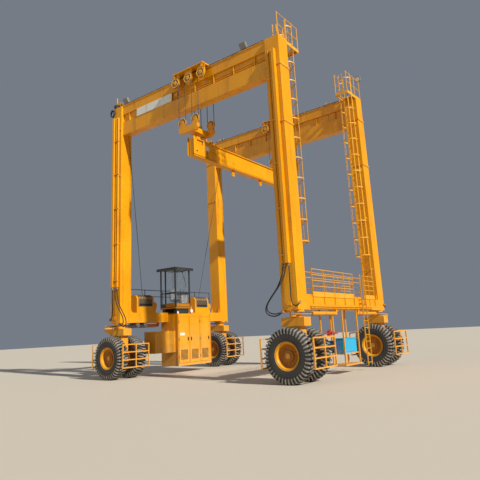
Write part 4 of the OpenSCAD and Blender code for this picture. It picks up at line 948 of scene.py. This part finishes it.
def dress_sheaves():
    """Light rims and dark webs on the faces of the sheaves, the webs' dark being painted
    shade of their recess over grease, and on the upper ones lightening holes drawn as
    dark discs of painted shade, collars and rope keepers."""
    for name, sy in SIDES:
        for body, z, places in (("trolley_", UPPER_Z, (-4, 0, 4)), ("hook_", LOWER_Z, (-2, 2))):
            light, dark, holes = [], [], []
            upper = body == "trolley_"
            for c in (-1, 1):
                middle = sy * PIN_Y + c * SHEAVE_Y
                for k in places:
                    x = TROLLEY_X + k * SHEAVE_R
                    for out in (-1, 1):
                        at = (x, middle + out * SHEAVE_HALF, z)
                        light.append(face_ring(SHEAVE_RING, at, out,
                                               3.0 if upper and out == c else 1.0))
                        # Dark web ring: painted shade of the web's recess, over grease
                        dark.append(face_ring(SHEAVE_WEB_SHADE, at, out))
                    if not upper:
                        continue
                    y = middle + c * SHEAVE_HALF
                    for n in range(6):
                        a = (n + 0.5) * math.pi / 3
                        at = (x + HOLE_R * math.cos(a), y, z + HOLE_R * math.sin(a))
                        # Black disc where a lightening hole is: painted shade
                        holes.append(face_ring(HOLE_SHADE, at, c))
                        light.append(face_ring(HOLE_LIP, at, c))
                    light.append(face_ring(AXLE_COLLAR, (x, y, z), c))
                    bar, pins = keeper(x, middle, z, *KEEPER_SPANS[k])
                    light.append(bar)
                    for pin in pins:
                        cheek = (pin[0], sy * PIN_Y + c * 0.499, pin[2])
                        path = straight_path(pin + (0, c * 0.024, 0), cheek, 0.05)
                        light.append(tube(path, 0.009, 10))
            for label, parts, finish in (("sheave_rims_", light, "ring"),
                                         ("sheave_web_shade_", dark, "web"),
                                         ("sheave_hole_shade_", holes, "plastic")):
                if parts:
                    piece = add_parts(label + body + name, parts, finish, body + name)
                    crisp(piece)


def dress_hooks():
    """Nuts on the axles of the sheaves above and below, and keeper plates on
    the lower ones."""
    for name, sy in SIDES:
        above, below = [], []
        for c in (-1, 1):
            y = sy * PIN_Y + c * (SHEAVE_Y + 0.075)
            for k in (-2, 2):
                x = TROLLEY_X + k * SHEAVE_R
                below += nut_ring((x, y, LOWER_Z), "y", c, 0.03, 3, 0.016, 0.012)
                below.append(slab((x - 0.07, min(y, y - c * 0.02), LOWER_Z + 0.05),
                                  (x + 0.07, max(y, y - c * 0.02), LOWER_Z + 0.085), 0.004))
            y = sy * PIN_Y + c * (SHEAVE_Y + 0.06)
            for k in (-4, 0, 4):
                x = TROLLEY_X + k * SHEAVE_R
                above += nut_ring((x, y, UPPER_Z), "y", c, 0.055, 6, 0.016, 0.012)
        for parts, body in ((above, "trolley_"), (below, "hook_")):
            piece = add_parts("axle_nuts_" + body + name, parts, "steel", body + name, False)


def shackle(x, y, z):
    """Bow shackle on a lug: a rod bent to half a circle on two straight legs,
    and the pin through their feet."""
    a = np.linspace(0, math.pi, 13)
    bow = [(x, y - 0.05, z + 0.03), (x, y - 0.05, z + 0.08)]
    bow += [(x, y - 0.055 * math.cos(t), z + 0.1 + 0.055 * math.sin(t)) for t in a]
    bow += [(x, y + 0.05, z + 0.08), (x, y + 0.05, z + 0.03)]
    pin = [(x, y - 0.085, z + 0.03), (x, y, z + 0.03), (x, y + 0.085, z + 0.03)]
    lug = slab((x - 0.012, y - 0.03, z), (x + 0.012, y + 0.03, z + 0.06), 0.005)
    return [tube(bow, 0.014, 12), tube(pin, 0.018, 12), lug]


def dress_plates():
    """Blank plates on the beam and on the power house, and the red shackles on
    top of the beam."""
    red = shackle(TROLLEY_X, -1.0, BEAM_TOP) + shackle(TROLLEY_X, 0.84, BEAM_TOP)
    add_parts("beam_shackles", red, "red", "hook_near")
    side = TROLLEY_X + 0.115
    plate = slab((side, -3.47, 10.43), (side + 0.006, -3.16, 10.64), 0.002)
    add_parts("beam_plate", [plate], "white", "hook_near", False)
    plate = slab((-3.985, -0.78, 1.9), (-3.974, -0.42, 2.04), 0.002)
    add_parts("house_plate", [plate], "white", smooth=False)


# Head pulley: where it stands along the girder, its height over the girder's top, and its
# section as (distance from the axle, place along it)
HEAD_X, HEAD_RISE = -5.22, 0.24
HEAD_PULLEY = [(0.02, -0.03), (0.155, -0.03), (0.16, -0.026), (0.138, -0.006), (0.138, 0.006),
               (0.16, 0.026), (0.155, 0.03), (0.02, 0.03)]

# Coil of cable: its place along the girder, its turns, and how far its middle hangs down
COIL_X, COIL_TURNS, COIL_DROP = -5.36, 5, 0.32


def dress_heads():
    """Head pulleys in brackets on top of the left legs, junction boxes beside
    them and a coil of cable on a hook at the outer corner. The coil's radius is
    0.15 m and swings by 12 mm as it turns, taller than wide by a quarter."""
    top, x = GIRDER_TOP, HEAD_X
    for name, sy in SIDES:
        y, z = sy * PIN_Y, top + HEAD_RISE
        dark, bright = [], []
        for c in (-1, 1):
            cheek, foot = y + c * 0.07, y + c * 0.115
            dark.append(slab((x - 0.1, cheek - 0.008, top), (x + 0.1, cheek + 0.008, z + 0.05)))
            dark.append(slab((x - 0.14, foot - 0.037, top), (x + 0.14, foot + 0.037, top + 0.014),
                             0.005))
            for k in (-0.1, 0.1):
                bright.append(bolt((x + k, y + c * 0.12, top + 0.014), "z", 1, 0.024, 0.016))
        bright.append(revolve(HEAD_PULLEY[::-1], "y", 48, (x, y, z)))
        bright.append(tube(straight_path((x, y - 0.1, z), (x, y + 0.1, z), 0.1), 0.02, 16))
        box = y + sy * 0.27
        dark.append(slab((x - 0.12, box - 0.07, top), (x + 0.1, box + 0.07, top + 0.2), 0.01))
        a = np.linspace(0, COIL_TURNS * 2 * math.pi, 121)
        reach = 0.15 + 0.012 * np.sin(a * 1.7)
        coil = np.stack([COIL_X + reach * np.cos(a), sy * (4.232 + a / a[-1] * 0.09),
                         top - COIL_DROP + reach * 1.25 * np.sin(a)], -1)
        dark.append(tube(coil, 0.016, 8))
        hook = [(COIL_X, sy * 4.216, top - 0.18), (COIL_X, sy * 4.35, top - 0.18),
                (COIL_X, sy * 4.37, top - 0.13)]
        tail = [(-5.24, sy * 4.24, top - 0.45), (-5.22, sy * 4.23, top - 0.1),
                (x, sy * 4.15, top + 0.1), (x, box, top + 0.17)]
        dark += [tube(smooth_path(path, 0.03), 0.014, 8) for path in (hook, tail)]
        add_parts("head_brackets_" + name, dark, "dark")
        crisp(add_parts("head_pulley_" + name, bright, "web"))


def dress_cables():
    """Two cables clipped along both edges of each girder's top."""
    top = GIRDER_TOP
    cables, clips = [], []
    for _, sy in SIDES:
        for side in (-1, 1):
            for k, lift in enumerate((0.013, 0.036)):
                y, z = sy * PIN_Y + side * (0.236 + 0.008 * k), top + lift
                cables.append(tube(straight_path((-4.6, y, z), (4.6, y, z), 0.4), 0.011, 10))
            y = sy * PIN_Y + side * 0.24
            for x in np.arange(-4.4, 4.5, 1.1):
                clips.append(slab((x - 0.015, y - 0.017, top), (x + 0.015, y + 0.017, top + 0.052),
                                  0.003))
    add_parts("girder_cables", cables, "hose")
    add_parts("girder_cable_clips", clips, "steel", smooth=False)


# Middles of the floodlights, and how far they look down, in degrees
LAMPS = [(-4.45, -3.975, 14.45), (3.5, -3.975, 14.45), (-4.45, 3.975, 14.45), (3.5, 3.975, 14.45),
         (5.39, 4.185, 15.44)]
LAMP_TILT = 35


def dress_lamps():
    """Ribbed lenses and cables of the floodlights."""
    lens, cable = [], []
    for x, y, z in LAMPS:
        for k in range(9):
            a = x - 0.13 + k * 0.029
            pane = slab((a, y - 0.094, z - 0.1), (a + 0.027, y - 0.0885, z + 0.1), 0.0025)
            lens.append(turned(pane, "X", math.radians(LAMP_TILT), (x, y, z)))
        path = [(x + 0.06, y + 0.05, z - 0.1), (x + 0.07, y + 0.06, z - 0.17),
                (x + 0.03, y + 0.03, z - 0.22)]
        cable.append(tube(smooth_path(path, 0.02), 0.007, 8))
    add_parts("lamp_lenses", lens, "lens", smooth=False)
    add_parts("lamp_cables", cable, "plastic")


# Winch covers: the line that a grille follows over one, as (x and z of the arch's middle, angle
# from +X towards +Z in degrees), the arch's radius and the grille's width
COVER_ARCH = ([(-5.0, z, 0) for z in (3.47, 3.6, 3.72)]
              + [(-5.0, 3.81, a) for a in np.linspace(0, 90, 11)]
              + [(-5.12, 3.81, a) for a in np.linspace(90, 152, 9)])
COVER_R = 0.24
GRILLE_W = 0.9
RIBS, RIB_STEP = 26, 0.035
MOTOR_Z = 3.5


def dress_winches():
    """Grilles over the winch covers, each a dark sheet of painted shade under ribs
    with a frame round them, and nuts round the motors."""
    dark, nuts, ribs = [], [], []
    angle = [math.radians(a) for _, _, a in COVER_ARCH]
    ways = np.array([(math.cos(a), 0, math.sin(a)) for a in angle])
    seats = np.array([(x, 0, z) for x, z, _ in COVER_ARCH]) + ways * COVER_R
    side = GRILLE_W / 2 + 0.01
    for y in WINCH_Y:
        # Dark sheet under the ribs: painted shade of the cover's openings
        dark.append(strap(GRILLE_W, 0, 0.009, seats + (0, y, 0), ways))
        for k in range(RIBS):
            rib = seats[1:-1] + (0, y + (k - (RIBS - 1) / 2) * RIB_STEP, 0)
            ribs.append(strap(0.012, 0.008, 0.024, rib, ways[1:-1]))
        for t in (-side, side):
            ribs.append(strap(0.032, 0.001, 0.028, seats + (0, y + t, 0), ways))
        for k in (0, 7, 13, -1):
            edge = [seats[k] + ways[k] * 0.014 + (0, y + t, 0) for t in (-side, 0.0, side)]
            ribs.append(tube(edge, 0.012, 8))
        nuts += nut_ring((-PIN_X, y + 0.645, MOTOR_Z), "y", 1, 0.238, 10, 0.02, 0.014)
        nuts += nut_ring((-PIN_X, y + 0.885, MOTOR_Z), "y", 1, 0.17, 6, 0.014, 0.01)
        for k in range(4):
            foot = (-PIN_X - 0.16 + (k % 2) * 0.32, y + 0.705 + (k // 2) * 0.1, 3.34)
            nuts.append(bolt(foot, "z", 1, 0.022, 0.016))
    add_parts("winch_grilles", ribs, "grille", smooth=False)
    add_parts("winch_slot_shade", dark, "plastic", smooth=False)
    add_parts("winch_nuts", nuts, "steel", smooth=False)


def lever_part(x, y, z, height):
    """Joystick: a bellows that narrows upwards in rings, a rod and a grip."""
    rings = [(0.045, 0.0), (0.046, 0.008)]
    for k in range(5):
        r = 0.04 - 0.005 * k
        rings += [(r, 0.012 + 0.012 * k), (r - 0.006, 0.018 + 0.012 * k)]
    rings += [(0.009, 0.08), (0.009, height - 0.08), (0.016, height - 0.07), (0.02, height - 0.04),
              (0.018, height - 0.01), (0.01, height), (0.0, height)]
    return revolve(rings[::-1], "z", 20, (x, y, z))


# Outer corners of the cab, the heights of its lower and upper panes, and its console's top
CAB_LOW, CAB_HIGH = (-5.22, -1.0, 3.4), (-4.05, 0.15, 5.45)
PANES = ((CAB_LOW[2] + 0.2, CAB_LOW[2] + 0.74), (CAB_LOW[2] + 0.79, CAB_HIGH[2]))
CONSOLE_Z = 4.18

# A button on the console, as (distance from its axis, height)
BUTTON = [(0.0, 0.02), (0.01, 0.02), (0.013, 0.016), (0.013, 0.0), (0.018, 0.0), (0.018, -0.01)]


def dress_cab():
    """Glass in the cab's sides with rubber round it, a wiper, panels round its
    base, and levers and buttons on the console."""
    (x0, y0, _), (x1, y1, _) = CAB_LOW, CAB_HIGH
    panes, seals, black, red = [], [], [], []
    for low, high in PANES:
        panes.append(slab((x1 - 0.034, y0 + 0.06, low), (x1 - 0.026, y1 - 0.06, high), 0.002))
        panes.append(slab((x0 + 0.41, y0 + 0.026, low), (x1 - 0.06, y0 + 0.034, high), 0.002))
        panes.append(slab((x0 + 0.06, y1 - 0.034, low), (x1 - 0.06, y1 - 0.026, high), 0.002))
        for (xa, ya), (xb, yb) in (((x1 - 0.03, y0 + 0.07), (x1 - 0.03, y1 - 0.07)),
                                   ((x0 + 0.42, y0 + 0.03), (x1 - 0.07, y0 + 0.03)),
                                   ((x0 + 0.07, y1 - 0.03), (x1 - 0.07, y1 - 0.03))):
            ring = [(xa, ya, low + 0.01), (xb, yb, low + 0.01), (xb, yb, high - 0.01),
                    (xa, ya, high - 0.01), (xa, ya, low + 0.01)]
            seals += [tube(straight_path(a, b, 0.4), 0.012, 8) for a, b in zip(ring, ring[1:])]
    add_parts("cab_panes", panes, "glass", smooth=False)
    arm = [(x1 - 0.01, -0.425, 5.3), (x1 - 0.008, -0.36, 5.05), (x1 - 0.008, -0.22, 4.75)]
    seals.append(tube(smooth_path(arm, 0.05), 0.008, 8))
    blade = straight_path((x1 - 0.014, -0.28, 5.12), (x1 - 0.014, -0.16, 4.5), 0.1)
    seals.append(tube(blade, 0.009, 8))
    seals.append(slab((x1 - 0.02, -0.47, 5.27), (x1, -0.38, 5.35), 0.01))
    add_parts("cab_seals", seals, "plastic")
    # The panels round the cab's base wear the darker orange, painted shade under the cab
    fascia = [slab((x1 - 0.06, y0 + 0.07, 3.42), (x1 + 0.012, y1 - 0.07, 3.6)),
              slab((x0 + 0.42, y0 - 0.012, 3.42), (x1 - 0.07, y0 + 0.06, 3.6)),
              slab((x0 - 0.012, y0 - 0.012, 3.325), (x1 + 0.012, y1 + 0.012, 3.395))]
    add_parts("cab_base_panels_painted_shade", fascia, "base", smooth=False)
    for y in (-0.36, -0.08):
        black.append(lever_part(-4.3, y, CONSOLE_Z - 0.03, 0.24))
    for k in range(6):
        cap = revolve(BUTTON, "z", 16, (-4.205, -0.38 + k * 0.066, CONSOLE_Z + 0.02))
        (red if k == 0 else black).append(cap)
    add_parts("console_controls", black, "plastic")
    add_parts("stop_button", red, "red")


def dress_pumps():
    """Bolts and a terminal box on the motor, and nuts and a gauge on the
    manifold's block."""
    nuts = nut_ring((PIN_X, -2.06, 1.14), "y", -1, 0.16, 8, 0.016, 0.01)
    nuts += [bolt((PIN_X + 0.15, y, 1.849), "z", 1, 0.03, 0.014) for y in (-1.6, -1.52, -1.44)]
    gauge = [(0.0, 0.03), (0.04, 0.03), (0.048, 0.024), (0.048, 0.0), (0.0, 0.0)]
    boxes = [slab((PIN_X + 0.2, -1.8, 1.1), (PIN_X + 0.3, -1.6, 1.26), 0.012),
             revolve(gauge, "x", 32, (PIN_X + 0.21, -1.52, 1.7))]
    add_parts("pump_nuts", nuts, "steel", smooth=False)
    add_parts("pump_boxes", boxes, "plastic", smooth=False)


# Stage


# Camera: size of the picture in pixels and of the sensor in millimetres, focal length and shift
# of the picture's middle in pixels, place in metres, and yaw, pitch and roll in radians
PICTURE, SENSOR = 480, 36
FOCUS, SHIFT_X, SHIFT_Y = 495.62, 0.5, -26.5
CAMERA_AT = (14.997, -20.384, 1.933)
YAW, PITCH, ROLL = 0.6417, 0.2344, -0.0498

FLOOR_HALF = 150


def add_camera(scene):
    """The camera, which looks along ahead: turned by yaw from +Y towards -X,
    raised by pitch, then rolled."""
    lens = bpy.data.cameras.new("camera")
    lens.sensor_width = SENSOR
    lens.lens = SENSOR * FOCUS / PICTURE
    lens.shift_x, lens.shift_y = SHIFT_X / PICTURE, SHIFT_Y / PICTURE
    lens.clip_end = 500
    ahead = np.array((-math.sin(YAW) * math.cos(PITCH), math.cos(YAW) * math.cos(PITCH),
                      math.sin(PITCH)))
    right = np.array((math.cos(YAW), math.sin(YAW), 0))
    up = np.cross(right, ahead)
    across = right * math.cos(ROLL) + up * math.sin(ROLL)
    upward = -right * math.sin(ROLL) + up * math.cos(ROLL)
    pose = Matrix(np.column_stack([across, upward, -ahead]).tolist()).to_4x4()
    pose.translation = CAMERA_AT
    camera = bpy.data.objects.new("camera", lens)
    camera.matrix_world = pose
    scene.collection.objects.link(camera)
    scene.camera = camera


def add_sun(scene, name, way, strength, size, colour):
    """A distant lamp that shines from a direction."""
    lamp = bpy.data.lights.new(name, "SUN")
    lamp.energy, lamp.angle, lamp.color = strength, size, colour
    z = np.array(way) / np.linalg.norm(way)
    x = np.cross((0, 0, 1), z)
    x /= np.linalg.norm(x)
    holder = bpy.data.objects.new(name, lamp)
    holder.matrix_world = Matrix(np.column_stack([x, np.cross(z, x), z]).tolist()).to_4x4()
    scene.collection.objects.link(holder)


def make_stage(settings):
    """Pale floor, soft studio light and the camera of the photograph."""
    scene = bpy.context.scene
    material, _, shader = new_material("Floor")
    shader.inputs["Base Color"].default_value = (*tuple(settings.floor), 1)
    shader.inputs["Roughness"].default_value = 0.85
    r = FLOOR_HALF
    floor = add_mesh("floor", [(-r, -r, 0), (r, -r, 0), (r, r, 0), (-r, r, 0)], [(0, 1, 2, 3)],
                     material, None, False)
    world = bpy.data.worlds.new("Pale sky")
    world.use_nodes = True
    sky = world.node_tree.nodes["Background"].inputs
    sky["Color"].default_value = (0.74, 0.84, 1.0, 1)
    sky["Strength"].default_value = settings.sky
    scene.world = world
    scene.view_settings.view_transform = "Standard"
    add_sun(scene, "sun", (0.86, -0.16, 0.55), settings.sun, 0.03, (1.0, 0.96, 0.88))
    add_sun(scene, "fill", (-0.5, -0.8, 0.35), settings.sun * 0.07, 0.6, (1.0, 0.93, 0.8))
    add_camera(scene)


# Properties


class CraneColours(bpy.types.PropertyGroup):
    paint: bpy.props.FloatVectorProperty(
        name="Paint", description="Main colour of the steelwork", subtype="COLOR",
        default=(0.68, 0.27, 0.0), min=0, max=1)
    faded: bpy.props.FloatVectorProperty(
        name="Faded paint", description="Colour where the sun has bleached it", subtype="COLOR",
        default=(0.78, 0.37, 0.006), min=0, max=1)
    dark: bpy.props.FloatVectorProperty(
        name="Dark paint", description="Colour of the cab and its handrail", subtype="COLOR",
        default=(0.022, 0.026, 0.03), min=0, max=1)
    blue: bpy.props.FloatVectorProperty(
        name="Blue paint", description="Colour of the cabinet under the sill", subtype="COLOR",
        default=(0.015, 0.36, 0.62), min=0, max=1)
    rubber: bpy.props.FloatVectorProperty(
        name="Rubber", description="Colour of the tyres", subtype="COLOR",
        default=(0.022, 0.022, 0.024), min=0, max=1)


class CraneStage(bpy.types.PropertyGroup):
    floor: bpy.props.FloatVectorProperty(
        name="Floor", description="Colour of the floor", subtype="COLOR",
        default=(0.6, 0.54, 0.45), min=0, max=1)
    sun: bpy.props.FloatProperty(
        name="Sun", description="Strength of the main light", default=4.9, min=0, max=20)
    sky: bpy.props.FloatProperty(
        name="Sky", description="Strength of the sky's light", default=0.24, min=0, max=5)


class CRANE_OT_paint(bpy.types.Operator):
    """Makes the materials and paints every node of the frame"""
    bl_idname = "crane.paint"
    bl_label = "Paint the frame"

    def execute(self, context):
        make_materials(context.scene.crane_colours)
        for name, node in NODES.items():
            node.data.materials.clear()
            node.data.materials.append(node_material(name))
        return {"FINISHED"}


class CRANE_OT_tyres(bpy.types.Operator):
    """Builds the lugged tyres and dished rims"""
    bl_idname = "crane.tyres"
    bl_label = "Tyres and rims"

    def execute(self, context):
        dress_tyres()
        return {"FINISHED"}


class CRANE_OT_hoses(bpy.types.Operator):
    """Builds the hoses that hang from the legs"""
    bl_idname = "crane.hoses"
    bl_label = "Hoses"

    def execute(self, context):
        dress_hoses()
        return {"FINISHED"}


class CRANE_OT_ropes(bpy.types.Operator):
    """Builds the stranded hoist ropes"""
    bl_idname = "crane.ropes"
    bl_label = "Ropes"

    def execute(self, context):
        dress_ropes()
        return {"FINISHED"}


class CRANE_OT_house(bpy.types.Operator):
    """Builds the fittings of the power house's doors, and its lamps"""
    bl_idname = "crane.house"
    bl_label = "Power house"

    def execute(self, context):
        dress_house()
        return {"FINISHED"}


class CRANE_OT_bolts(bpy.types.Operator):
    """Builds the bolts and the weld beads of the steelwork"""
    bl_idname = "crane.bolts"
    bl_label = "Bolts and welds"

    def execute(self, context):
        dress_bolts()
        dress_welds()
        return {"FINISHED"}


class CRANE_OT_cylinders(bpy.types.Operator):
    """Builds the fittings of the steering cylinders"""
    bl_idname = "crane.cylinders"
    bl_label = "Steering cylinders"

    def execute(self, context):
        dress_cylinders()
        return {"FINISHED"}


class CRANE_OT_axles(bpy.types.Operator):
    """Builds the sheaves' rims and webs, their rope keepers and their nuts"""
    bl_idname = "crane.axles"
    bl_label = "Sheave axles"

    def execute(self, context):
        dress_sheaves()
        dress_hooks()
        return {"FINISHED"}


class CRANE_OT_lamps(bpy.types.Operator):
    """Builds the lenses and cables of the floodlights"""
    bl_idname = "crane.lamps"
    bl_label = "Floodlights"

    def execute(self, context):
        dress_lamps()
        return {"FINISHED"}


class CRANE_OT_plates(bpy.types.Operator):
    """Builds the blank plates, shackles, head pulleys and the girders' cables"""
    bl_idname = "crane.plates"
    bl_label = "Plates and pulleys"

    def execute(self, context):
        dress_plates()
        dress_heads()
        dress_cables()
        return {"FINISHED"}


class CRANE_OT_machines(bpy.types.Operator):
    """Builds the fittings of the winches and the pump"""
    bl_idname = "crane.machines"
    bl_label = "Winches and pump"

    def execute(self, context):
        dress_winches()
        dress_pumps()
        return {"FINISHED"}


class CRANE_OT_cab(bpy.types.Operator):
    """Builds the cab's glass, seals and controls"""
    bl_idname = "crane.cab"
    bl_label = "Cab"

    def execute(self, context):
        dress_cab()
        return {"FINISHED"}


class CRANE_OT_stage(bpy.types.Operator):
    """Builds the floor, the light and the camera"""
    bl_idname = "crane.stage"
    bl_label = "Stage"

    def execute(self, context):
        make_stage(context.scene.crane_stage)
        return {"FINISHED"}


OPERATORS = [CRANE_OT_stage, CRANE_OT_paint, CRANE_OT_hoses, CRANE_OT_tyres, CRANE_OT_ropes,
             CRANE_OT_house, CRANE_OT_bolts, CRANE_OT_cylinders, CRANE_OT_axles,
             CRANE_OT_lamps, CRANE_OT_plates, CRANE_OT_machines, CRANE_OT_cab]


class CRANE_PT_panel(bpy.types.Panel):
    bl_idname = "CRANE_PT_panel"
    bl_label = "Gantry crane"
    bl_space_type = "VIEW_3D"
    bl_region_type = "UI"
    bl_category = "Crane"

    def draw(self, context):
        for group in (context.scene.crane_colours, context.scene.crane_stage):
            for key in group.__annotations__:
                self.layout.prop(group, key)
        for operator in OPERATORS:
            self.layout.operator(operator.bl_idname)


CLASSES = [CraneColours, CraneStage, *OPERATORS, CRANE_PT_panel]


def register():
    for cls in CLASSES:
        bpy.utils.register_class(cls)
    bpy.types.Scene.crane_colours = bpy.props.PointerProperty(type=CraneColours)
    bpy.types.Scene.crane_stage = bpy.props.PointerProperty(type=CraneStage)


def unregister():
    del bpy.types.Scene.crane_stage
    del bpy.types.Scene.crane_colours
    for cls in reversed(CLASSES):
        bpy.utils.unregister_class(cls)


def main():
    register()
    for operator in OPERATORS:
        group, name = operator.bl_idname.split(".")
        getattr(getattr(bpy.ops, group), name)()
    bpy.context.view_layer.update()


if __name__ == "__main__":
    main()
